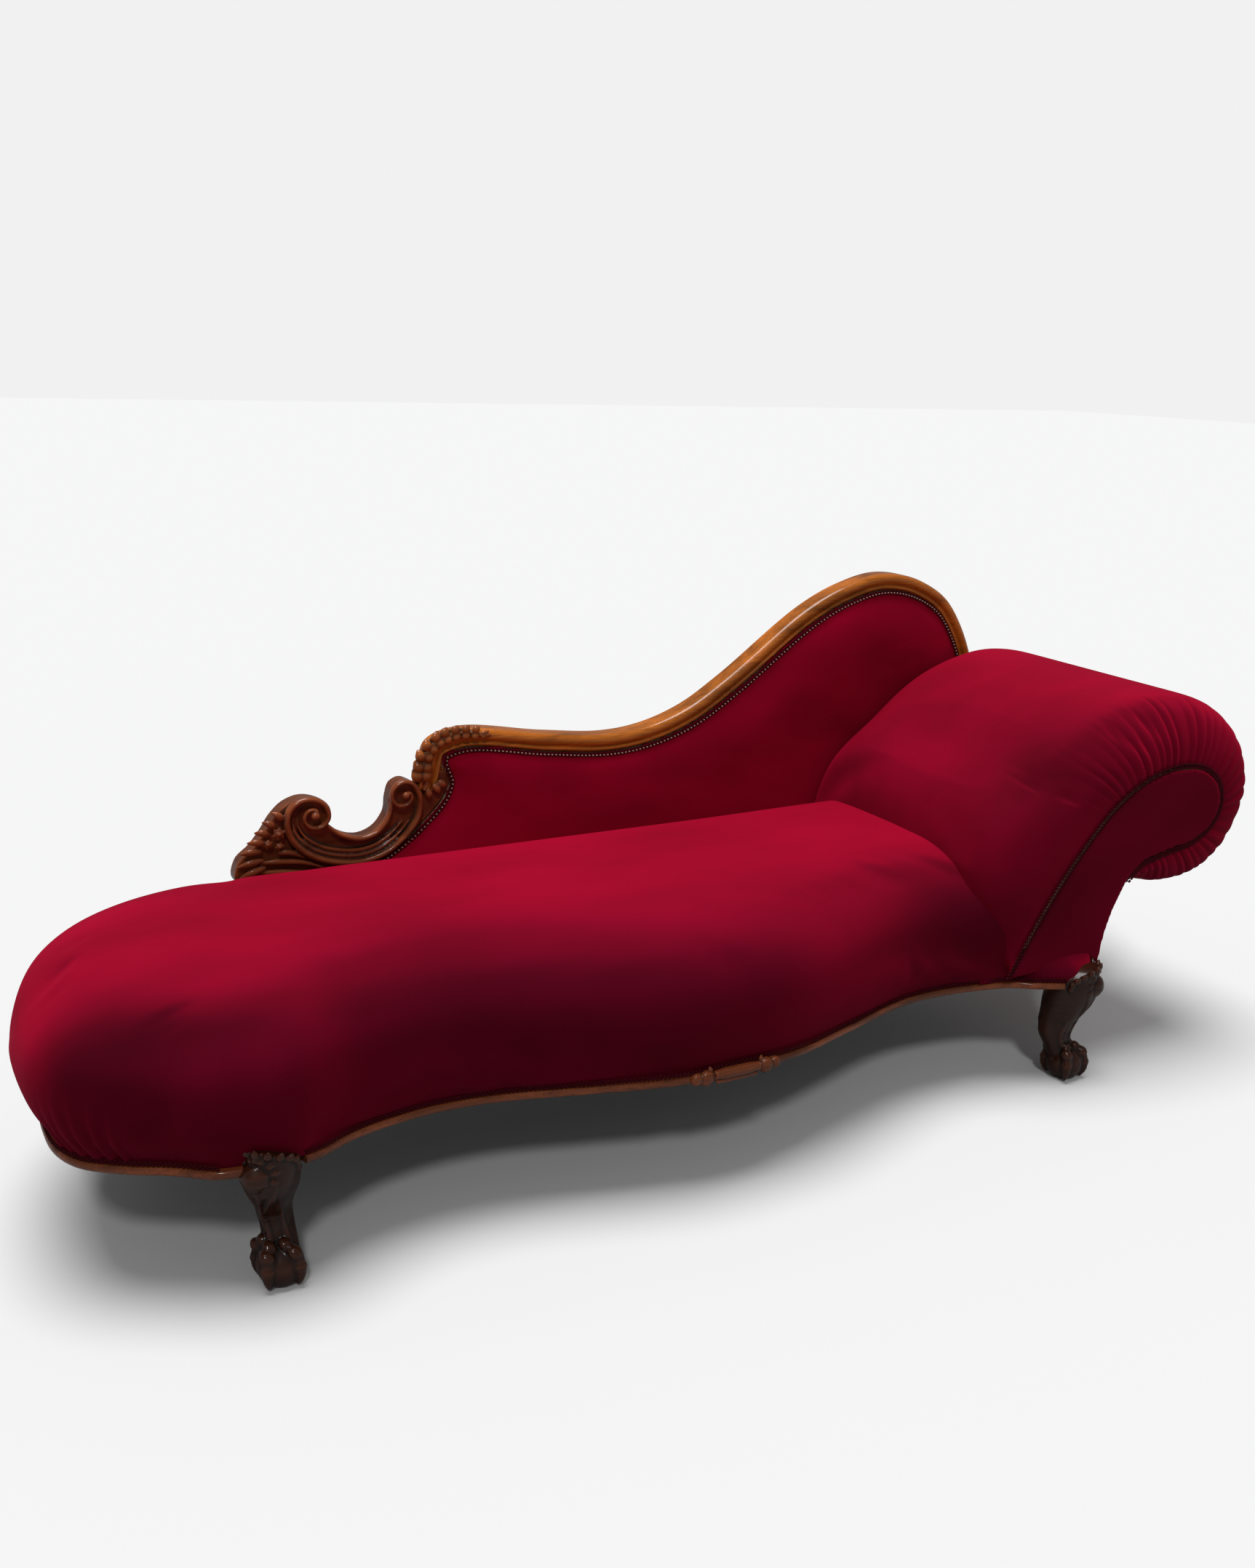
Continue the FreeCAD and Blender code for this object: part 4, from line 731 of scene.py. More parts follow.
def new_material(name, roughness, **sockets):
    material = bpy.data.materials.new(name)
    material.use_nodes = True
    shader = material.node_tree.nodes["Principled BSDF"]
    shader.inputs["Roughness"].default_value = roughness
    for socket, value in sockets.items():
        shader.inputs[socket.replace("_", " ")].default_value = value
    return material, material.node_tree.nodes, material.node_tree.links, shader


def placed_group(nodes, tree, **values):
    node = nodes.new("ShaderNodeGroup")
    node.node_tree = tree
    for name, value in values.items():
        node.inputs[name].default_value = value
    return node


def ramp(nodes, stops):
    node = nodes.new("ShaderNodeValToRGB")
    elements = node.color_ramp.elements
    while len(elements) < len(stops):
        elements.new(0.5)
    for element, (at, colour) in zip(elements, stops):
        element.position = at
        element.color = (*colour, 1.0)
    return node


def bump(nodes, links, height, shader, distance, strength):
    node = placed(nodes, "Bump", Strength=strength, Distance=distance)
    links.new(height, node.inputs["Height"])
    links.new(node.outputs["Normal"], shader.inputs["Normal"])


def velvet(name="Crimson velvet", lift=0.0):
    """Velvet with painted sheen and painted top light.

    Its base colour runs from a painted shade where it is seen straight on or faces down to a lit crimson
    where it is seen edge-on and faces up. A lift makes it paler straight on: a lit copy, painted light for
    pieces that face the front.
    """
    if name in bpy.data.materials:
        return bpy.data.materials[name]
    look = bpy.context.scene.couch_velvet
    colour, deep = Vector(look.colour), Vector(look.deep)
    deep = deep.lerp(colour, lift)
    material, nodes, links, shader = new_material(name, 0.9, Sheen_Roughness=0.4, Specular_IOR_Level=0.06)
    shader.inputs["Sheen Weight"].default_value = look.sheen
    shader.inputs["Sheen Tint"].default_value = (1.0, 0.02, 0.10, 1.0)
    nap = placed_group(nodes, nap_group(), Brushing=5.0, Fibre=1100.0)
    down = ramp(nodes, [(0.0, deep * 0.65), (1.0, deep * 1.5)])
    along = ramp(nodes, [(0.0, colour * 0.80), (1.0, colour * 1.14)])
    tip = placed(nodes, "LayerWeight", Blend=0.5)
    turned = placed(nodes, "MapRange", From_Min=0.10, From_Max=0.80)
    turned.interpolation_type = "SMOOTHSTEP"
    surface = nodes.new("ShaderNodeNewGeometry")
    upright = nodes.new("ShaderNodeSeparateXYZ")
    # Painted top light: faces turned up take the lit tone, faces turned down the shaded one.
    top_light_share = placed(nodes, "MapRange", From_Min=-0.55, From_Max=0.55)
    # Painted sheen and painted shade: the base colour runs from the shaded tone seen straight on to the lit
    # tone seen edge-on and facing up.
    sheen_and_top_light = calculated(nodes, "MULTIPLY")
    lit = mixed(nodes)
    links.new(nap.outputs["Mottle"], down.inputs["Fac"])
    links.new(nap.outputs["Mottle"], along.inputs["Fac"])
    links.new(tip.outputs["Facing"], turned.inputs["Value"])
    links.new(surface.outputs["Normal"], upright.inputs["Vector"])
    links.new(upright.outputs["Z"], top_light_share.inputs["Value"])
    links.new(turned.outputs["Result"], sheen_and_top_light.inputs[0])
    links.new(top_light_share.outputs["Result"], sheen_and_top_light.inputs[1])
    links.new(sheen_and_top_light.outputs["Value"], lit.inputs["Factor"])
    links.new(down.outputs["Color"], lit.inputs["A"])
    links.new(along.outputs["Color"], lit.inputs["B"])
    links.new(lit.outputs["Result"], shader.inputs["Base Color"])
    bump(nodes, links, nap.outputs["Height"], shader, 0.0006, 0.35)
    return material


def walnut(name, colour, bands, gloss, coat):
    if name in bpy.data.materials:
        return bpy.data.materials[name]
    colour = Vector(colour)
    material, nodes, links, shader = new_material(
        name, gloss, Specular_IOR_Level=0.22, Coat_Weight=coat, Coat_Roughness=0.10)
    figure = placed_group(nodes, grain_group(), Bands=bands)
    tone = ramp(nodes, [(0.0, colour * 0.42), (0.45, colour * 0.85), (0.8, colour * 1.12),
                        (1.0, colour * 1.35)])
    pores = placed(nodes, "MapRange", From_Min=0.3, From_Max=0.5, To_Min=0.7)
    worn = mixed(nodes, "MULTIPLY")
    worn.inputs["Factor"].default_value = 1.0
    links.new(figure.outputs["Figure"], tone.inputs["Fac"])
    links.new(figure.outputs["Pores"], pores.inputs["Value"])
    links.new(tone.outputs["Color"], worn.inputs["A"])
    links.new(pores.outputs["Result"], worn.inputs["B"])
    links.new(worn.outputs["Result"], shader.inputs["Base Color"])
    bump(nodes, links, figure.outputs["Pores"], shader, 0.0003, 0.25)
    return material


def carved_walnut(name, colour, gloss, coat):
    """Walnut with painted shade in its carved recesses, the mask held in the mesh's own attribute."""
    if name in bpy.data.materials:
        return bpy.data.materials[name]
    colour = Vector(colour)
    material, nodes, links, shader = new_material(
        name, gloss, Specular_IOR_Level=0.14, Coat_Weight=coat, Coat_Roughness=0.12)
    figure = placed_group(nodes, grain_group(), Bands=35.0)
    tone = ramp(nodes, [(0.0, colour * 0.6), (0.6, colour), (1.0, colour * 1.35)])
    recess_shade_mask = nodes.new("ShaderNodeAttribute")
    recess_shade_mask.attribute_name = "carving"
    shaded_recesses = mixed(nodes)
    # Painted shade: recesses darken towards a near-black tone of the wood.
    shaded_recesses.inputs["A"].default_value = (*(colour * 0.07), 1.0)
    dull = placed(nodes, "MapRange", To_Min=min(1.0, gloss + 0.3), To_Max=gloss)
    links.new(figure.outputs["Figure"], tone.inputs["Fac"])
    links.new(recess_shade_mask.outputs["Fac"], shaded_recesses.inputs["Factor"])
    links.new(tone.outputs["Color"], shaded_recesses.inputs["B"])
    links.new(shaded_recesses.outputs["Result"], shader.inputs["Base Color"])
    links.new(recess_shade_mask.outputs["Fac"], dull.inputs["Value"])
    links.new(dull.outputs["Result"], shader.inputs["Roughness"])
    bump(nodes, links, figure.outputs["Pores"], shader, 0.0003, 0.25)
    return material


def russet_walnut():
    return walnut("Russet walnut", bpy.context.scene.couch_wood.russet, 40.0, 0.28, 0.35)


def honey_walnut():
    return walnut("Honey walnut", bpy.context.scene.couch_wood.honey, 30.0, 0.22, 0.40)


def russet_carving():
    return carved_walnut("Russet carved walnut", bpy.context.scene.couch_wood.russet, 0.24, 0.50)


def woven(name, light, dark, threads, roughness=0.9, shine=0.2):
    if name in bpy.data.materials:
        return bpy.data.materials[name]
    material, nodes, links, shader = new_material(name, roughness, Specular_IOR_Level=shine)
    weave = placed_group(nodes, weave_group(), Threads=threads)
    tone = ramp(nodes, [(0.2, dark), (0.8, light)])
    links.new(weave.outputs["Height"], tone.inputs["Fac"])
    links.new(tone.outputs["Color"], shader.inputs["Base Color"])
    bump(nodes, links, weave.outputs["Height"], shader, 0.0006, 0.6)
    return material


def braid_material():
    return woven("Wine braid", (0.080, 0.005, 0.011), (0.016, 0.002, 0.003), 450.0, 0.8, 0.06)


def mottled(name, roughness, scale, stops, **sockets):
    """Finish that wanders between two colours."""
    if name in bpy.data.materials:
        return bpy.data.materials[name]
    material, nodes, links, shader = new_material(name, roughness, **sockets)
    mottle = placed(nodes, "TexNoise", Scale=scale)
    tone = ramp(nodes, stops)
    links.new(mottle.outputs["Fac"], tone.inputs["Fac"])
    links.new(tone.outputs["Color"], shader.inputs["Base Color"])
    return material


def pale_heads():
    return mottled("Pale gimp heads", 0.35, 90.0, [(0.35, (0.20, 0.12, 0.08)), (0.65, (0.55, 0.42, 0.34))])


def spring_wire():
    stops = [(0.3, (0.25, 0.16, 0.10)), (0.7, (0.5, 0.36, 0.24))]
    return mottled("Coppered wire", 0.4, 60.0, stops, Metallic=1.0)


# Pieces

def from_spine(point, front, foot):
    x, y = point
    spine = min(SPINE_HEAD_X, max(SPINE_FOOT_X, x))
    beyond = min(1.0, max(0.0, (SPINE_FOOT_X - x) / 0.25))
    share = front + (foot - front) * beyond
    return (spine + (x - spine) * share, y * share)


def across_front(foot_half, head_half):
    """Line along the front, from its two halves, each taken from the middle outward."""
    return [(-x, -y) for x, y in reversed(foot_half)] + [(x, -y) for x, y in head_half]


def round_foot_end():
    """Line round the foot end, from the rear leg to the front one."""
    rear = [(-FOOT_LEG_X - x, y) for x, y in reversed(FOOT_REAR_LINE)]
    return rear + [(-FOOT_LEG_X - x, -y) for x, y in reversed(FOOT_LINE)]


def front_moulding_line():
    """Outer line of the front moulding, from knee to knee."""
    head_knee = (HEAD_LEG_X + KNEE_LINE[0][0], KNEE_LINE[0][1])
    foot_knee = (FOOT_LEG_X + KNEE_LINE[0][0], KNEE_LINE[0][1])
    return across_front(FOOT_HALF_LINE + [foot_knee], HEAD_HALF_LINE + [(0.640, 0.290), head_knee])


def seat_plan():
    """Outline of the seat from its rear, round the foot end and along the front to the head end."""
    behind = [(BACK_FOOT_X - 0.030, SEAT_FREE_REAR_Y - 0.004), (-0.692, SEAT_FREE_REAR_Y)]
    knee = [(-FOOT_LEG_X + x, -y) for x, y in KNEE_LINE]
    return behind + round_foot_end() + knee + across_front(FOOT_HALF_LINE, HEAD_HALF_LINE)


def smooth_levels(levels, rows, reach):
    """Levels taken again as smooth rows, even over a surface whose shares span the given reach."""
    real = np.array(levels) * ([1.0] + [reach] * (len(levels[0]) - 1))
    return evenly(through(real, 0.004), rows) / ([1.0] + [reach] * (len(levels[0]) - 1))


class COUCH_OT_seat(bpy.types.Operator):
    """Velvet seat: crowned, drawn in at the moulding and gathered at the foot end's corner"""
    bl_idname = "couch.seat"
    bl_label = "Seat"

    def execute(self, context):
        look, shape = context.scene.couch_velvet, context.scene.couch_gathers
        plan = seat_plan()
        rows = []
        for z, front, foot, held in smooth_levels(SEAT_LEVELS, SEAT_ROWS, 0.3):
            ring = [from_spine(point, front, foot) for point in plan]
            line = evenly(through(ring, 0.006), 4 * SEAT_PAIRS)
            tip = int(np.argmin(line[:, 0]))
            rear_held = [(BACK_FOOT_X - 0.012, SEAT_REAR_Y * held), (SEAT_HEAD_X, SEAT_REAR_Y * held)]
            fore = np.concatenate([line[tip:], [(SEAT_HEAD_X, line[-1][1])]])
            aft = np.concatenate([line[tip::-1], rear_held])
            rows.append((z, evenly(fore, SEAT_PAIRS), evenly(aft, SEAT_PAIRS)))
        rings = []
        for k, (z, fore, aft) in enumerate(rows):
            if k == len(rows) - 1:
                fore = aft = 0.5 * (fore + aft)
            rings.append(on_floor_plan(np.concatenate([fore, aft[::-1]]), z))
        obj = sheet_mesh("seat_velvet", rings, closed=True)
        outward(obj)
        co = points_of(obj)
        against_back = (co[:, 1] > MIDDLE.y + SEAT_REAR_Y - 0.004) & (co[:, 0] > MIDDLE.x + BACK_FOOT_X)
        edge = (co[:, 2] < SEAT_TACK_Z) | against_back
        stuffed(obj, look.swell, edge)
        relaxed(obj, 3, 0.5, 1.0 - edge.astype(float))
        finer(obj)
        self.gather(obj, shape)
        smooth_shaded(obj)
        finished(obj, velvet(), "velvet", "seat_cushion")
        return {"FINISHED"}

    def gather(self, obj, shape):
        """Fan of small gathers that rise from the moulding at the front corner of the foot end."""
        co, no = points_of(obj), normals_of(obj)
        x, y, z = (co - np.array(MIDDLE)).T
        turn = np.degrees(np.arctan2(FAN_CENTRE[1] - y, FAN_CENTRE[0] - x))
        share = (turn - FAN_MIDDLE) / (FAN_HALF * (1.0 + 2.2 * np.clip(z - FAN_FOOT_Z, 0, 1)))
        inside = np.clip((1.0 - np.abs(share)) / 0.25, 0, 1)
        reach = 0.055 + 0.040 * (1.0 - share ** 2) + 0.014 * np.sin(share * 21.0)
        fade = np.clip((FAN_FOOT_Z + 0.001 + reach - z) / reach, 0, 1) ** 1.1
        phase = share * 0.5 * shape.gathers + 0.10 * np.sin(share * 17.0)
        fold = 1.0 - 2.0 * np.abs(np.sin(np.pi * phase)) ** 0.6
        put_points(obj, co - no * (shape.gather_depth * fold * inside * fade)[:, None])


class COUCH_OT_head(bpy.types.Operator):
    """Rolled head cushion, its velvet pleated down to the facing"""
    bl_idname = "couch.head"
    bl_label = "Head cushion"

    def execute(self, context):
        look, shape = context.scene.couch_velvet, context.scene.couch_gathers
        gimp = evenly(through([g for g, f in HEAD_LINES], 0.004), HEAD_SAMPLES)
        full = self.matched(through([f for g, f in HEAD_LINES], 0.004), HEAD_SAMPLES)
        rows = []
        edge = smooth_levels(HEAD_EDGE, 18, 0.13)
        depths = list(np.linspace(HEAD_FRONT_Y + HEAD_EDGE[-1][0], HEAD_REAR_Y - 0.035, 26)[1:])
        sections = [(HEAD_FRONT_Y + step, share) for step, share in edge] + [(y, 1.0) for y in depths]
        sections += [(HEAD_REAR_Y - step, share)
                     for step, share in ((0.022, 0.985), (0.010, 0.93), (0.003, 0.84), (0.0, 0.72))]
        for y, share in sections:
            rows.append(on_wall(gimp + (full - gimp) * share, y))
        obj = sheet_mesh("head_velvet", rows)
        count = HEAD_SAMPLES
        row = np.repeat(np.arange(len(rows)), count)
        outer_ends = np.tile(np.arange(count), len(rows)) % (count - 1) == 0
        tacked = (row == 0) | (row == len(rows) - 1) | outer_ends
        self.turn_out(obj)
        stuffed(obj, look.swell, tacked)
        relaxed(obj, 3, 0.5, 1.0 - tacked.astype(float))
        self.pleat(obj, shape, len(rows), count)
        finer(obj)
        smooth_shaded(obj)
        # The roll's velvet is a lit copy: its painted shade straight on is lifted towards the lit tone.
        finished(obj, velvet("Crimson velvet of the roll", 0.20), "velvet", "head_cushion")
        return {"FINISHED"}

    def matched(self, line, count):
        """The full outline, each sample beside the gimp line's sample of the same number."""
        gimp = through([g for g, f in HEAD_LINES], 0.004)
        spans_g = self.lengths([g for g, f in HEAD_LINES], gimp)
        spans_f = self.lengths([f for g, f in HEAD_LINES], line)
        at = np.interp(np.linspace(0, spans_g[-1], count), spans_g, spans_f)
        seg = np.concatenate([[0], np.cumsum(np.linalg.norm(np.diff(line, axis=0), axis=1))])
        return np.stack([np.interp(at, seg, line[:, i]) for i in (0, 1)], axis=1)

    def lengths(self, points, line):
        """Distance along a sampled line at which it passes each point."""
        seg = np.concatenate([[0], np.cumsum(np.linalg.norm(np.diff(line, axis=0), axis=1))])
        return [seg[np.argmin(np.linalg.norm(line - np.array(p), axis=1))] for p in points]

    def turn_out(self, obj):
        """Turn the sheet's faces away from the middle of the roll."""
        alone(obj)
        co, no = points_of(obj), normals_of(obj)
        centre = np.array([MIDDLE.x + 0.93, 0, 0.48])
        upper = co[:, 2] > 0.6
        if np.sum((co - centre)[upper] * no[upper]) < 0:
            bpy.ops.object.mode_set(mode="EDIT")
            bpy.ops.mesh.select_all(action="SELECT")
            bpy.ops.mesh.flip_normals()
            bpy.ops.object.mode_set(mode="OBJECT")

    def pleat(self, obj, shape, rows, count):
        """Pleats from the gimp outward: deep at the gimp, gone where the roll turns to its length."""
        co, no = points_of(obj), normals_of(obj)
        grid = np.indices((rows, count))
        row, column = grid[0].ravel(), grid[1].ravel() / (count - 1)
        depth = co[:, 1] - (HEAD_FRONT_Y + MIDDLE.y)
        fade = np.clip(1.0 - depth / (0.066 + 0.020 * np.sin(column * 131.0)), 0, 1) ** 1.2
        strong = np.clip((column - 0.34) / 0.16, 0.0, 1) * np.clip((0.99 - column) / 0.03, 0, 1)
        phase = column * shape.pleats + 0.16 * np.sin(column * 61.0) + 0.07 * np.sin(column * 173.0)
        wave = 1.0 - 2.0 * np.abs(np.sin(np.pi * phase)) ** 0.55
        lean = 0.75 + 0.25 * np.sin(column * 97.0)
        put_points(obj, co - no * (shape.pleat_depth * wave * lean * fade * strong)[:, None])


class COUCH_OT_back(bpy.types.Operator):
    """Velvet pad of the back and the outside covers"""
    bl_idname = "couch.back"
    bl_label = "Back pad"

    def execute(self, context):
        look = context.scene.couch_velvet
        pad = form_copy("back_velvet", "back_pad", 0.008)
        co = points_of(pad)
        edge = co[:, 1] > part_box("back_pad")[0].y + 0.011
        stuffed(pad, look.swell, edge)
        relaxed(pad, 10, 0.5, np.where(edge, 0.15, 1.0))
        smooth_shaded(pad)
        # The back's velvet is a lit copy: painted light lifts its shade straight on far towards the lit tone,
        # since the pad faces the front.
        finished(pad, velvet("Crimson velvet of the back", 0.72), "velvet", "back_pad")
        for name, node, voxel, kept_face, times in (
                ("outside_back_velvet", "outside_back_cover", 0.007, 1, 5.0),
                ("front_facing_velvet", "head_front_facing", 0.004, 1, 2.6),
                ("rear_facing_velvet", "head_rear_facing", 0.004, 0, 2.6)):
            obj = form_copy(name, node, voxel, (1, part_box(node)[kept_face].y, times))
            relaxed(obj, 4)
            smooth_shaded(obj)
            finished(obj, velvet(), "velvet", node)
        self.outside_head()
        self.skirt()
        return {"FINISHED"}

    def skirt(self):
        """Velvet under the facing, down to the moulding and over the knee."""
        line = through(SKIRT_LINE, 0.005)
        line = line - sides_of(line) * 0.004
        face = np.stack([line[:, 0].clip(0.0, SKIRT_END_X), np.maximum(line[:, 1], HEAD_FRONT_Y - 0.0035)],
                        axis=1)
        rows = [on_floor_plan(line + (face - line) * share, z) for z, share in SKIRT_LEVELS]
        obj = sheet_mesh("front_skirt_velvet", rows)
        finer(obj)
        thick = obj.modifiers.new("Thick", "SOLIDIFY")
        thick.thickness = 0.002
        thick.offset = 0.0
        apply_all(obj)
        outward(obj)
        smooth_shaded(obj)
        finished(obj, velvet(), "velvet")

    def outside_head(self):
        """Velvet down the outside of the head end."""
        low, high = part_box("outside_head_cover")
        wide = high.y - low.y
        profile = [(-OUTSIDE_HEAD_THICK, 0.0), (-OUTSIDE_HEAD_THICK, wide), (0.0, wide), (0.0, 0.0)]
        path = on_wall(through(OUTSIDE_HEAD_LINE, 0.01), low.y - MIDDLE.y)
        obj = swept("outside_head_velvet", path, profile, (0, 1, 0))
        smooth_shaded(obj, 40)
        finished(obj, velvet(), "velvet", "outside_head_cover")


class COUCH_OT_back_wood(bpy.types.Operator):
    """Polished show-wood rail of the back, with its beaded inner fillet"""
    bl_idname = "couch.back_wood"
    bl_label = "Back rail"

    def execute(self, context):
        path = on_wall(through([RAIL_FOOT] + BACK_LINE, 0.005), BACK_WOOD_FRONT)
        obj = swept("back_rail_polished", path, BACK_PROFILE, (0, 1, 0))
        smooth_shaded(obj, 60)
        finished(obj, honey_walnut(), "polished_walnut", "back_top_rail")
        return {"FINISHED"}


class COUCH_OT_mouldings(bpy.types.Operator):
    """Round-nosed mouldings under the velvet"""
    bl_idname = "couch.mouldings"
    bl_label = "Mouldings"

    def execute(self, context):
        wood = russet_walnut()
        knee = (-FOOT_LEG_X + KNEE_LINE[0][0], -KNEE_LINE[0][1])
        foot_line = [FOOT_MOULD_START] + round_foot_end() + [knee]
        for name, points, node in (("front_moulding_polished", front_moulding_line(),
                                    "front_rail_moulding"),
                                   ("foot_moulding_polished", foot_line, "foot_end_moulding"),
                                   ("head_moulding_polished", HEAD_MOULD_LINE, "head_end_moulding")):
            line = through(points, 0.005) if len(points) > 2 else np.array(evenly(points, 40))
            obj = swept(name, on_floor_plan(line, MOULD_Z), MOULD_PROFILE, (0, 0, 1))
            smooth_shaded(obj, 60)
            finished(obj, wood, "carved_walnut", node)
        return {"FINISHED"}


class COUCH_OT_legs(bpy.types.Operator):
    """Carved cabriole legs with ball and claw feet"""
    bl_idname = "couch.legs"
    bl_label = "Front legs"

    def execute(self, context):
        wood = carved_walnut("Dark carved walnut", context.scene.couch_wood.dark, 0.26, 0.45)
        for side, node in ((-1, "front_leg_foot_end"), (1, "front_leg_head_end")):
            body = form_copy(node + "_body", node, 0.0022)
            self.dome(body, side)
            relaxed(body, 4)
            shapes = self.knee(side) + self.foot(side)
            obj = fused(node + "_carved", shapes, 0.0017, 2, body)
            self.stand(obj, side)
            finished(obj, wood, "dark_walnut", node)
        return {"FINISHED"}

    def stand(self, obj, side):
        """Bring the ankle nearer to the line from knee to foot, as the two legs stand in their own ways."""
        co = points_of(obj)
        z = co[:, 2]
        ankle = np.exp(-((z - 0.100) / 0.036) ** 2)
        foot = np.clip((0.075 - z) / 0.03, 0, 1)
        knee = np.exp(-((z - 0.180) / 0.030) ** 2)
        for bend, (dx, dy) in zip((ankle, foot, knee), STANCE[side]):
            co[:, 0] += bend * dx
            co[:, 1] += bend * dy
        put_points(obj, co)

    def at(self, side, out, across, z):
        """Point by its distance out along the leg's diagonal and across it."""
        x, y = side * math.sqrt(0.5), -math.sqrt(0.5)
        axis = HEAD_LEG_X if side > 0 else -FOOT_LEG_X
        return np.array((axis + out * x - across * y + MIDDLE.x,
                         -LEG_FRONT_Y + out * y + across * x + MIDDLE.y, z))

    def dome(self, body, side):
        """Arch the knee's top."""
        co = points_of(body)
        axis = HEAD_LEG_X if side > 0 else -FOOT_LEG_X
        x, y = co[:, 0] - MIDDLE.x - axis, co[:, 1] - MIDDLE.y + LEG_FRONT_Y
        across = (x + side * y) * math.sqrt(0.5)
        top = 0.186 + 0.034 * np.sqrt(np.clip(1.0 - (across / 0.046) ** 2, 0, 1))
        top = top + (0.3 - top) * np.clip(y / 0.02, 0, 1)
        co[:, 2] = np.minimum(co[:, 2], top)
        put_points(body, co)

    def skin(self, side, z, angle, lift=0.0):
        """Point on the leg's surface at a height, turned from the diagonal by an angle in degrees."""
        heights, *columns = zip(*LEG_SECTIONS)
        centre, deep, wide = (np.interp(z, heights, column) for column in columns)
        turn = math.radians(angle)
        return self.at(side, centre + (deep + lift) * math.cos(turn), (wide + lift) * math.sin(turn), z)

    def facing(self, side, angle):
        return self.at(side, math.cos(math.radians(angle)), math.sin(math.radians(angle)),
                       0) - self.at(side, 0, 0, 0)

    def knee(self, side):
        """Knee: a scalloped edge over the velvet, a boss in a ring of small leaves, ribs and tendons."""
        shapes = [tube([self.skin(side, z, 0, 0.0) for z in (0.160, 0.144, 0.128, 0.108)],
                       [0.0030, 0.0036, 0.0028, 0.0012], 0.8, self.facing(side, 0))]
        for lean in range(-90, 91, 15):
            across, rise = math.sin(math.radians(lean)), math.cos(math.radians(lean))
            start = self.skin(side, 0.183 + 0.028 * rise, 86 * across, 0.0)
            end = self.skin(side, 0.186 + 0.041 * rise, 96 * across, 0.0045)
            shapes.append(lobe(start, end, 0.0068, flat=0.7, facing=self.facing(side, 86 * across)))
        for angle in (-50, 0, 50):
            shapes.append(ball(self.skin(side, 0.194, angle, -0.022), 0.020, 1.0, self.facing(side, angle)))
        boss = self.skin(side, 0.182, 0, -0.009)
        shapes.append(ball(boss, 0.0235, 0.9, self.facing(side, 0)))
        for lean in range(-105, 106, 30):
            u, v = math.sin(math.radians(lean)), math.cos(math.radians(lean))
            start = self.skin(side, 0.183 + 0.021 * v, 34 * u, 0.0005)
            end = self.skin(side, 0.183 + 0.031 * v, 50 * u, 0.0010)
            shapes.append(lobe(start, end, 0.0050, flat=0.6, facing=self.facing(side, 40 * u)))
        for way in (-1, 1):
            path = [self.skin(side, z, way * angle, 0.0)
                    for z, angle in ((0.170, 44), (0.150, 36), (0.130, 24), (0.112, 10))]
            shapes.append(tube(path, [0.0022, 0.0042, 0.0036, 0.0012], 0.6, self.facing(side, way * 30)))
        for angle in (0, 62, -62):
            path = [self.skin(side, z, angle, 0.0006) for z in (0.118, 0.098, 0.080, 0.064)]
            shapes.append(tube(path, [0.0012, 0.0032, 0.0040, 0.0050], 0.8, self.facing(side, angle)))
        return shapes

    def foot(self, side):
        """Knuckles and nails of the talons that hold the ball."""
        shapes = []
        for turn in TALON_TURNS:
            face = self.facing(side, turn)
            for reach, z, radius in KNUCKLES:
                centre = self.at(side, 0.001, 0, z) + face * (reach * BALL_R)
                shapes.append(ball(centre, radius, 1.0, face))
            path = [self.at(side, 0.001, 0, z) + face * (reach * BALL_R) for reach, z in NAIL]
            shapes.append(tube(path, [0.0085, 0.0072, 0.0050, 0.0022], 1.0, face))
        return shapes


def proud_at(x, z, proud):
    """Point in front of the face of the back's wood."""
    return np.array((x + MIDDLE.x, BACK_WOOD_FRONT - proud + MIDDLE.y, z))


def leaf_lobes(spine, count, reach, width, lean):
    """Rib along a spine with lobes each side that lean towards its tip."""
    line = evenly(through(spine, 0.003), 60)
    right = sides_of(line)
    way = np.stack([-right[:, 1], right[:, 0]], axis=1)
    shapes = [tube([proud_at(x, z, 0.0045) for x, z in line[::6]],
                   [0.0035, 0.0042, 0.0040, 0.0034, 0.0026, 0.0014], 1.0),
              tube([proud_at(x, z, 0.0) for x, z in line[::6]],
                   [0.6 * reach, 0.75 * reach, 0.72 * reach, 0.6 * reach, 0.2 * reach], 0.35)]
    for k in range(count):
        i = int(4 + 52 * k / count)
        size = 1.0 - 0.35 * k / count
        for side in (-1, 1):
            root = line[i] + right[i] * side * 0.002
            tip = line[i] + (right[i] * side + way[i] * lean) * reach * size
            shapes.append(lobe(proud_at(*root, 0.0035), proud_at(*tip, 0.0015), width * size,
                               (0, -0.0022, 0), 0.75))
    return shapes


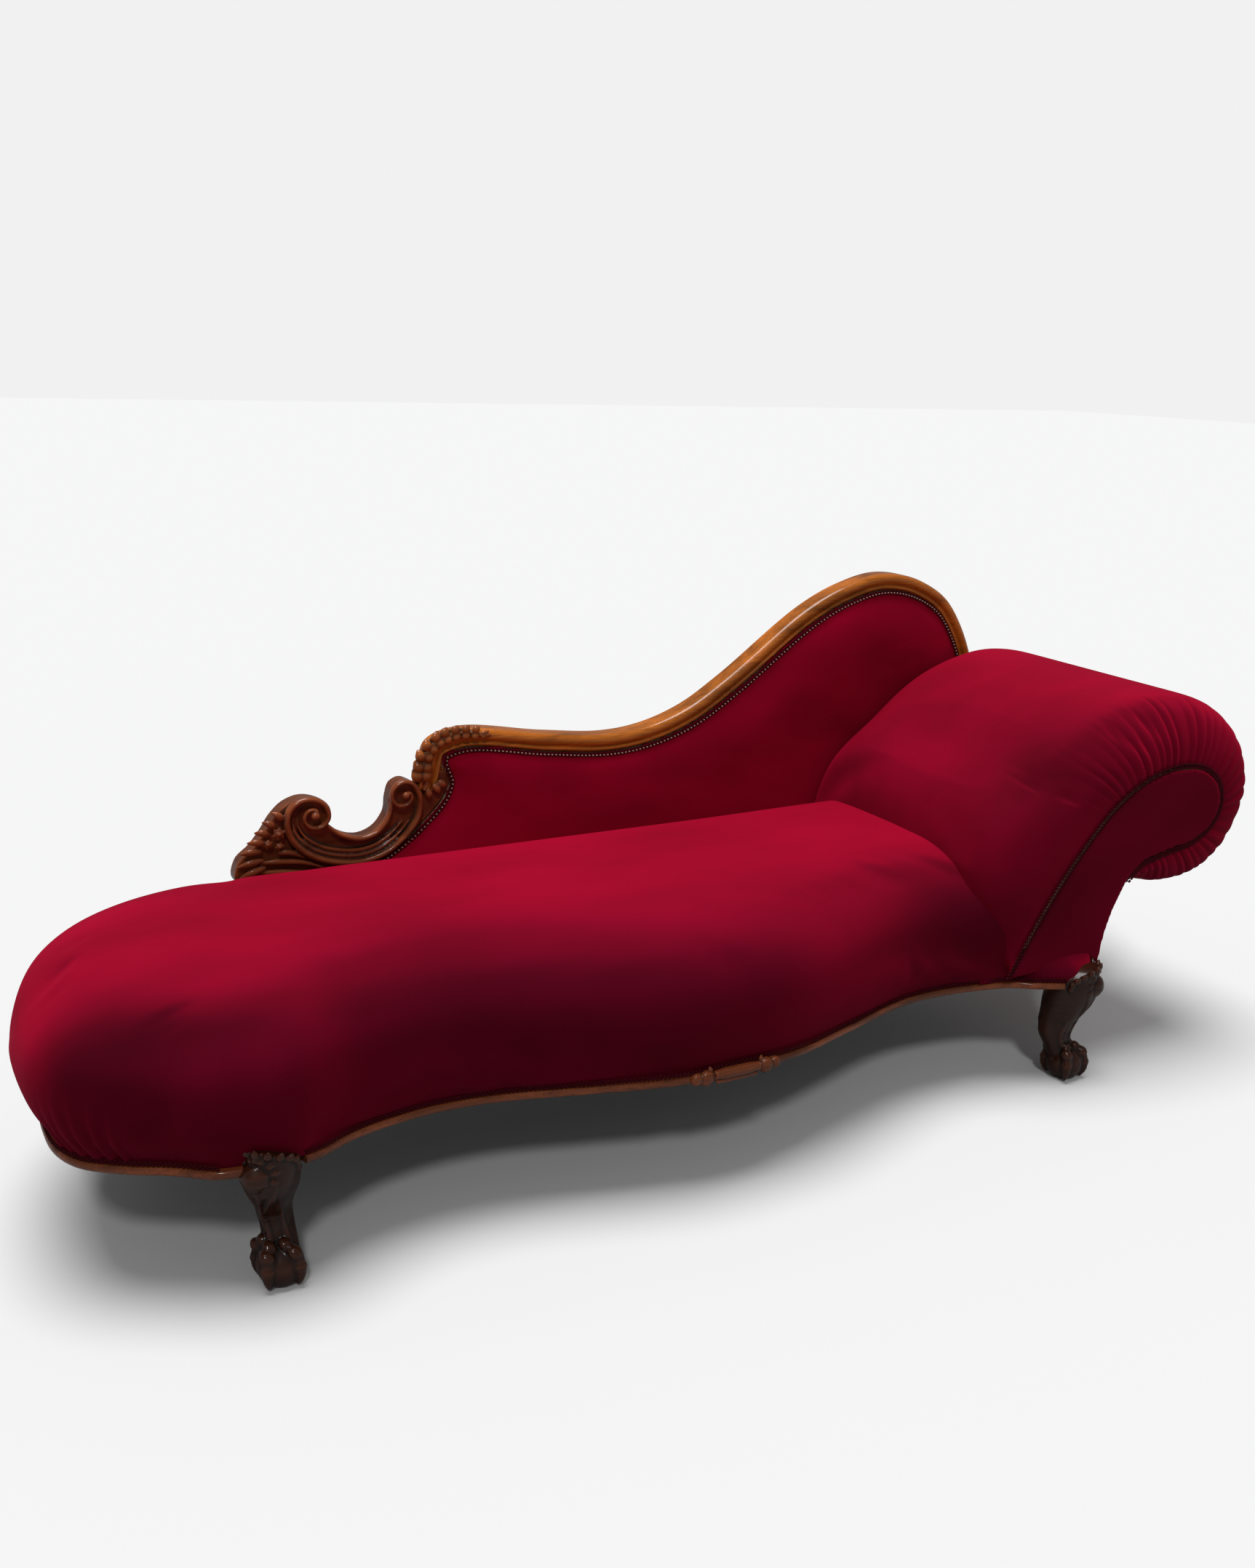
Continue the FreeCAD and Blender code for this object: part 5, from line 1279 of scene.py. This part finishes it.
class COUCH_OT_scroll(bpy.types.Operator):
    """Carved scroll at the back's foot, and the leaf over the rail's corner"""
    bl_idname = "couch.scroll"
    bl_label = "Scroll"

    def execute(self, context):
        look = context.scene.couch_wood
        outline = through(SCROLL_OUTLINE, 0.005, closed=True)
        shapes = [plate(outline, BACK_WOOD_FRONT + 0.0085, BACK_WOOD_FRONT + BACK_WOOD_DEPTH - 0.002)]
        shapes += self.reeds() + self.flowers()
        obj = fused("back_scroll_carved", shapes, 0.0016, 2)
        finished(obj, russet_carving(), "carved_walnut", "back_scroll")
        leaf = leaf_lobes(CORNER_LEAF, 9, 0.0165, 0.0108, 1.25)
        for end in ((-0.150, 0.584), (-0.155, 0.594), (-0.160, 0.577)):
            leaf.append(lobe(proud_at(-0.176, 0.589, 0.003), proud_at(*end, 0.001), 0.0042, (0, -0.002, 0)))
        corner = fused("back_corner_leaf", leaf, 0.0015, 2)
        blend = Vector(look.russet).lerp(Vector(look.honey), 0.35)
        finished(corner, carved_walnut("Honey carved walnut", blend, 0.24, 0.50), "carved_walnut")
        return {"FINISHED"}

    def swell(self, x, z):
        """The volutes stand further out towards their eyes."""
        near = min(math.hypot(x - BIG_EYE[0], z - BIG_EYE[1]),
                   math.hypot(x - SMALL_EYE[0], z - SMALL_EYE[1]))
        return 0.0010 + 0.0090 * math.exp(-(near / 0.022) ** 2)

    def reeds(self):
        """Rim, inner reeds, lip of the throat and the eyes."""
        shapes = [tube([proud_at(x, z, self.swell(x, z)) for x, z in SCROLL_RIM],
                       [0.0028, 0.0040, 0.0050, 0.0060, 0.0062, 0.0058, 0.0055, 0.0052, 0.0048, 0.0038,
                        0.0026], 1.5)]
        shapes.append(tube([proud_at(x, z, 0.0015) for x, z in SCROLL_LIP],
                           [0.0032, 0.0050, 0.0052, 0.0050, 0.0032], 1.5))
        channel = through(SCROLL_RIM[SCROLL_CHANNEL], 0.004)
        for inset, radius in ((0.0105, 0.0040), (0.0195, 0.0034)):
            reed = channel - sides_of(channel) * inset
            reed = reed[int(inset * 300):len(reed) - int(inset * 500)]
            shapes.append(tube([proud_at(x, z, -0.0050 + 0.15 * (0.026 - inset)) for x, z in reed[::4]],
                               [0.0012, radius, radius, radius, radius, 0.0012], 1.1))
        for eye, radius in ((BIG_EYE, 0.0078), (SMALL_EYE, 0.0068)):
            shapes.append(ball(proud_at(*eye, 0.0100), radius))
        return shapes

    def flowers(self):
        """Rosettes, the lobes of the leaf behind them and the long leaves under the throat."""
        shapes = []
        for (x, z), size in ROSETTES:
            shapes.append(ball(proud_at(x, z, 0.0060), 0.36 * size))
            for k in range(6):
                turn = 2 * math.pi * (k + 0.3) / 6
                tip = (x + size * math.cos(turn), z + size * math.sin(turn))
                shapes.append(lobe(proud_at(x, z, 0.0025), proud_at(*tip, 0.0035), 0.38 * size, flat=0.7))
        for start, end in EDGE_LOBES:
            shapes.append(lobe(proud_at(*start, 0.0005), proud_at(*end, -0.0010), 0.0068,
                               (0, -0.003, 0.002)))
        for path in SWEPT_LEAVES:
            shapes.append(tube([proud_at(x, z, 0.0) for x, z in path],
                               [0.0030, 0.0052, 0.0050, 0.0038, 0.0014], 1.1))
        return shapes


class COUCH_OT_rail_carving(bpy.types.Operator):
    """Carved bar between pairs of knobs in the middle of the front moulding"""
    bl_idname = "couch.rail_carving"
    bl_label = "Rail carving"

    def execute(self, context):
        low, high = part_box("rail_centre_carving")
        self.middle = 0.5 * (low.x + high.x)
        self.face = -HEAD_HALF_LINE[0][1] + MIDDLE.y
        self.level = MOULD_Z + 0.5 * MOULD_HEIGHT
        shapes = [self.bar(-0.040, 0.040, 0.0030, 0.0090, 0.0060),
                  self.bar(-0.037, 0.037, -0.0082, 0.0042, 0.0064)]
        for side in (-1, 1):
            for offset, rise, radius in ((0.0405, 0.0, 0.00744), (0.0530, 0.0, 0.0132),
                                         (0.0700, 0.001, 0.0105)):
                shapes.append(ball(self.at(side * offset, rise, 0.003), radius, 0.8))
            for turn in range(0, 360, 45):
                u, v = math.cos(math.radians(turn)), math.sin(math.radians(turn))
                start = self.at(side * 0.0530 + 0.004 * u, 0.004 * v, 0.010)
                end = self.at(side * 0.0530 + 0.0125 * u, 0.0125 * v, 0.004)
                shapes.append(lobe(start, end, 0.0030))
            shapes.append(lobe(self.at(side * 0.060, 0.008, 0.001), self.at(side * 0.082, 0.004, -0.001),
                               0.0045))
            shapes.append(lobe(self.at(side * 0.044, 0.007, 0.003), self.at(side * 0.047, 0.0175, 0.0),
                               0.0040))
        obj = fused("rail_carving_carved", shapes, 0.0011, 2, depth=0.0005)
        finished(obj, russet_carving(), "carved_walnut", "rail_centre_carving")
        return {"FINISHED"}

    def at(self, along, rise, proud):
        return np.array((self.middle + along, self.face - proud, self.level + rise))

    def bar(self, start, end, rise, radius, proud):
        return tube([self.at(start, rise, proud), self.at(0.5 * (start + end), rise, proud),
                     self.at(end, rise, proud)],
                    [0.75 * radius, radius, radius, radius, 0.75 * radius], 1.0)


class COUCH_OT_gimps(bpy.types.Operator):
    """Gimp braids along the mouldings, round the facing and inside the back's wood"""
    bl_idname = "couch.gimps"
    bl_label = "Gimp braids"

    def execute(self, context):
        braid = braid_material()
        gimp_line = through([g for g, f in HEAD_LINES], 0.004)
        facing = gimp_line - sides_of(gimp_line) * 0.0005
        self.braid("facing_gimp", on_wall(facing, HEAD_FRONT_Y - 0.0055), (0, -1, 0), braid,
                   "head_front_gimp", 1.3)
        inner = through(BACK_LINE, 0.004)
        inner = inner + sides_of(inner) * (BACK_WOOD_WIDTH + 0.0045)
        low = through(SCROLL_LOW_LINE, 0.004)
        low = low + sides_of(low) * 0.004
        whole = np.concatenate([low[:-3], inner[4:]])
        self.braid("back_gimp_braid", on_wall(whole, 0.2755), (0, -1, 0), braid, "back_gimp")
        self.nails(on_wall(whole + sides_of(whole) * 0.0010, 0.2735))
        rows = []
        for points in (front_moulding_line(), round_foot_end()):
            line = through(points, 0.004)
            line = line + sides_of(line) * -0.0008
            rows.append(self.upright_braid("seat_gimp_row",
                                           on_floor_plan(line, MOULD_Z + MOULD_HEIGHT + 0.0055)))
        obj = joined("seat_gimp_braid", rows)
        finished(obj, braid, "gimp_braid", "seat_gimp")
        return {"FINISHED"}

    def loops(self, name, line, normal, width):
        """Pairs of small loops that lean together, all along the line."""
        shape = bpy.context.scene.couch_braid
        bpy.ops.object.select_all(action="DESELECT")
        bpy.ops.mesh.primitive_uv_sphere_add(segments=8, ring_count=6, radius=0.5)
        loop = bpy.context.object
        shape_co = points_of(loop)
        faces = [tuple(p.vertices) for p in loop.data.polygons]
        bpy.data.objects.remove(loop)
        seg = np.linalg.norm(np.diff(line, axis=0), axis=1).sum()
        count = int(seg / shape.pitch)
        spots = evenly(line, count)
        way = np.gradient(spots, axis=0)
        way /= np.linalg.norm(way, axis=1)[:, None]
        normal = np.broadcast_to(np.asarray(normal, float), spots.shape)
        side = np.cross(way, normal)
        vertices, polygons = [], []
        for k in range(count):
            for offset, tilt in ((-0.26, 0.5), (0.26, -0.5)):
                u = way[k] * math.cos(tilt) + side[k] * math.sin(tilt)
                v = side[k] * math.cos(tilt) - way[k] * math.sin(tilt)
                start = len(vertices)
                ahead = shape.pitch * (0.25 if offset > 0 else -0.25)
                centre = spots[k] + side[k] * (offset * width) + way[k] * ahead
                for a, b, c in shape_co * (shape.pitch * LOOP_LENGTH, width * LOOP_WIDTH, LOOP_DEPTH):
                    vertices.append(centre + u * a + v * b + normal[k] * c)
                polygons += [tuple(i + start for i in face) for face in faces]
        return new_mesh(name, vertices, polygons)

    def braid(self, name, line, normal, material, node, widened=1.0):
        obj = self.loops(name, line, normal, bpy.context.scene.couch_braid.width * widened)
        smooth_shaded(obj)
        return finished(obj, material, "gimp_braid", node)

    def nails(self, line):
        """Small pale heads along the back's gimp."""
        spots = evenly(line, int(np.linalg.norm(np.diff(line, axis=0), axis=1).sum() / NAIL_PITCH))
        vertices, faces, start = [], [], 0
        for spot in spots:
            ends = [spot + (0, 0.0012, 0), spot - (0, 0.0014, 0)]
            points, polygons = tube(ends, [0.0017, 0.0016, 0.0013, 0.0005], 1.0, (0, 0, 1), 8)
            vertices.append(points)
            faces += [tuple(i + start for i in face) for face in polygons]
            start += len(points)
        obj = new_mesh("back_gimp_heads", np.concatenate(vertices), faces)
        outward(obj)
        smooth_shaded(obj)
        finished(obj, pale_heads(), "gimp_braid")

    def upright_braid(self, name, line):
        """Braid along a level line, turned to face outward."""
        normal = np.zeros_like(line)
        normal[:, :2] = sides_of(line[:, :2])
        shape = bpy.context.scene.couch_braid
        seg = np.linalg.norm(np.diff(line, axis=0), axis=1).sum()
        spots = evenly(normal, int(seg / shape.pitch))
        spots /= np.linalg.norm(spots, axis=1)[:, None]
        obj = self.loops(name, line, spots, shape.width * 0.8)
        smooth_shaded(obj)
        return obj


class COUCH_OT_frame_finishes(bpy.types.Operator):
    """Finishes of the frame, webbing, springs and linings, and the rear legs"""
    bl_idname = "couch.frame_finishes"
    bl_label = "Frame finishes"

    def execute(self, context):
        beech = walnut("Sawn beech", (0.50, 0.34, 0.20), 25.0, 0.7, 0.0)
        dark = walnut("Dark walnut", context.scene.couch_wood.dark, 30.0, 0.35, 0.18)
        jute = woven("Jute webbing", (0.42, 0.32, 0.19), (0.20, 0.14, 0.08), 180.0)
        hessian = woven("Hessian", (0.40, 0.30, 0.17), (0.16, 0.11, 0.06), 140.0)
        black = woven("Bottom cloth", (0.022, 0.022, 0.022), (0.006, 0.006, 0.006), 260.0)
        finishes = {"frame_beech": beech, "dark_walnut": dark, "jute_webbing": jute, "hessian": hessian,
                    "spring_steel": spring_wire(), "bottom_cloth": black, "velvet": velvet(),
                    "gimp_braid": braid_material(),
                    "carved_walnut": russet_walnut(), "polished_walnut": honey_walnut()}
        slots = {piece["node"]: piece["material_slot"] for piece in frame["record"]["subparts"]}
        for name, obj in NODES.items():
            obj.data.materials.clear()
            obj.data.materials.append(finishes[slots[name]])
        return {"FINISHED"}


class COUCH_OT_stage(bpy.types.Operator):
    """Pale floor and backdrop, soft light and the camera"""
    bl_idname = "couch.stage"
    bl_label = "Stage"

    def execute(self, context):
        stage = context.scene.couch_stage
        scene = context.scene
        bpy.ops.object.select_all(action="DESELECT")
        bpy.ops.mesh.primitive_plane_add(size=60.0, location=(0, 0, 0))
        floor = context.object
        floor.name = "floor"
        floor.data.materials.append(self.ground(stage))
        self.world(scene, stage)
        self.sun("key_light", *KEY_LIGHT)
        self.sun("front_light", *FRONT_LIGHT)
        self.camera(scene, stage)
        scene.view_settings.view_transform = "Standard"
        return {"FINISHED"}

    def sun(self, name, place, energy, spread):
        bpy.ops.object.light_add(type="SUN", location=place)
        lamp = bpy.context.object
        lamp.name = name
        lamp.data.energy = energy
        lamp.data.angle = spread
        lamp.rotation_mode = "QUATERNION"
        lamp.rotation_quaternion = (-Vector(place)).to_track_quat("-Z", "Y")

    def seen(self, nodes, links):
        """1 where a surface is seen straight or through glass."""
        path = nodes.new("ShaderNodeLightPath")
        either = calculated(nodes, "MAXIMUM")
        links.new(path.outputs["Is Camera Ray"], either.inputs[0])
        links.new(path.outputs["Is Transmission Ray"], either.inputs[1])
        return either.outputs["Value"]

    def ground(self, stage):
        """Pale floor that throws little light back under the couch."""
        material = bpy.data.materials.new("Pale floor")
        material.use_nodes = True
        nodes, links = material.node_tree.nodes, material.node_tree.links
        shader = nodes["Principled BSDF"]
        shader.inputs["Roughness"].default_value = 0.9
        shader.inputs["Specular IOR Level"].default_value = 0.0
        tone = mixed(nodes)
        tone.inputs["A"].default_value = (FLOOR_BOUNCE, FLOOR_BOUNCE, FLOOR_BOUNCE, 1.0)
        tone.inputs["B"].default_value = (*(Vector(stage.ground) * FLOOR_SHARE), 1.0)
        links.new(self.seen(nodes, links), tone.inputs["Factor"])
        links.new(tone.outputs["Result"], shader.inputs["Base Color"])
        return material

    def world(self, scene, stage):
        world = bpy.data.worlds.new("Studio")
        world.use_nodes = True
        scene.world = world
        nodes, links = world.node_tree.nodes, world.node_tree.links
        ambient = nodes["Background"]
        ambient.inputs["Color"].default_value = (0.98, 0.99, 1.0, 1.0)
        ambient.inputs["Strength"].default_value = AMBIENT
        backdrop = nodes.new("ShaderNodeBackground")
        backdrop.inputs["Color"].default_value = (*stage.ground, 1.0)
        mix = nodes.new("ShaderNodeMixShader")
        links.new(self.seen(nodes, links), mix.inputs["Fac"])
        links.new(ambient.outputs["Background"], mix.inputs[1])
        links.new(backdrop.outputs["Background"], mix.inputs[2])
        links.new(mix.outputs["Shader"], nodes["World Output"].inputs["Surface"])

    def camera(self, scene, stage):
        bpy.ops.object.camera_add()
        camera = bpy.context.object
        a, e, r = stage.azimuth, stage.elevation, stage.roll
        back = Vector((math.sin(a) * math.cos(e), -math.cos(a) * math.cos(e), math.sin(e)))
        forward = -back
        right = forward.cross(Vector((0, 0, 1))).normalized()
        up = right.cross(forward)
        turned = right * math.cos(r) - up * math.sin(r)
        top = right * math.sin(r) + up * math.cos(r)
        camera.matrix_world = Matrix((
            (turned.x, top.x, back.x, stage.place[0] + MIDDLE.x),
            (turned.y, top.y, back.y, stage.place[1] + MIDDLE.y),
            (turned.z, top.z, back.z, stage.place[2]),
            (0, 0, 0, 1)))
        camera.data.lens = stage.lens
        camera.data.sensor_width = 36.0
        camera.data.clip_end = 100.0
        scene.camera = camera


class COUCH_PT_panel(bpy.types.Panel):
    """Builds the couch's pieces one by one"""
    bl_idname = "COUCH_PT_panel"
    bl_label = "Fainting couch"
    bl_space_type = "VIEW_3D"
    bl_region_type = "UI"
    bl_category = "Couch"

    def draw(self, context):
        for operator in OPERATORS:
            self.layout.operator(operator.bl_idname)
        for group in ("couch_velvet", "couch_gathers", "couch_wood", "couch_braid", "couch_stage"):
            box = self.layout.box()
            settings = getattr(context.scene, group)
            for name in settings.__annotations__:
                box.prop(settings, name)


GROUPS = {"couch_velvet": VelvetLook, "couch_gathers": GatherShape, "couch_wood": WoodLook,
          "couch_braid": BraidShape,
          "couch_stage": StageShape}
OPERATORS = [COUCH_OT_frame_finishes, COUCH_OT_seat, COUCH_OT_head, COUCH_OT_back, COUCH_OT_back_wood,
             COUCH_OT_mouldings,
             COUCH_OT_legs, COUCH_OT_scroll, COUCH_OT_rail_carving, COUCH_OT_gimps, COUCH_OT_stage]


def register():
    for group in GROUPS.values():
        bpy.utils.register_class(group)
    for operator in OPERATORS:
        bpy.utils.register_class(operator)
    bpy.utils.register_class(COUCH_PT_panel)
    for name, group in GROUPS.items():
        setattr(bpy.types.Scene, name, bpy.props.PointerProperty(type=group))


def unregister():
    for name in GROUPS:
        delattr(bpy.types.Scene, name)
    bpy.utils.unregister_class(COUCH_PT_panel)
    for operator in reversed(OPERATORS):
        bpy.utils.unregister_class(operator)
    for group in reversed(list(GROUPS.values())):
        bpy.utils.unregister_class(group)


def main():
    register()
    bpy.ops.couch.frame_finishes()
    bpy.ops.couch.seat()
    bpy.ops.couch.head()
    bpy.ops.couch.back()
    bpy.ops.couch.back_wood()
    bpy.ops.couch.mouldings()
    bpy.ops.couch.legs()
    bpy.ops.couch.scroll()
    bpy.ops.couch.rail_carving()
    bpy.ops.couch.gimps()
    bpy.ops.couch.stage()


if __name__ == "__main__":
    main()
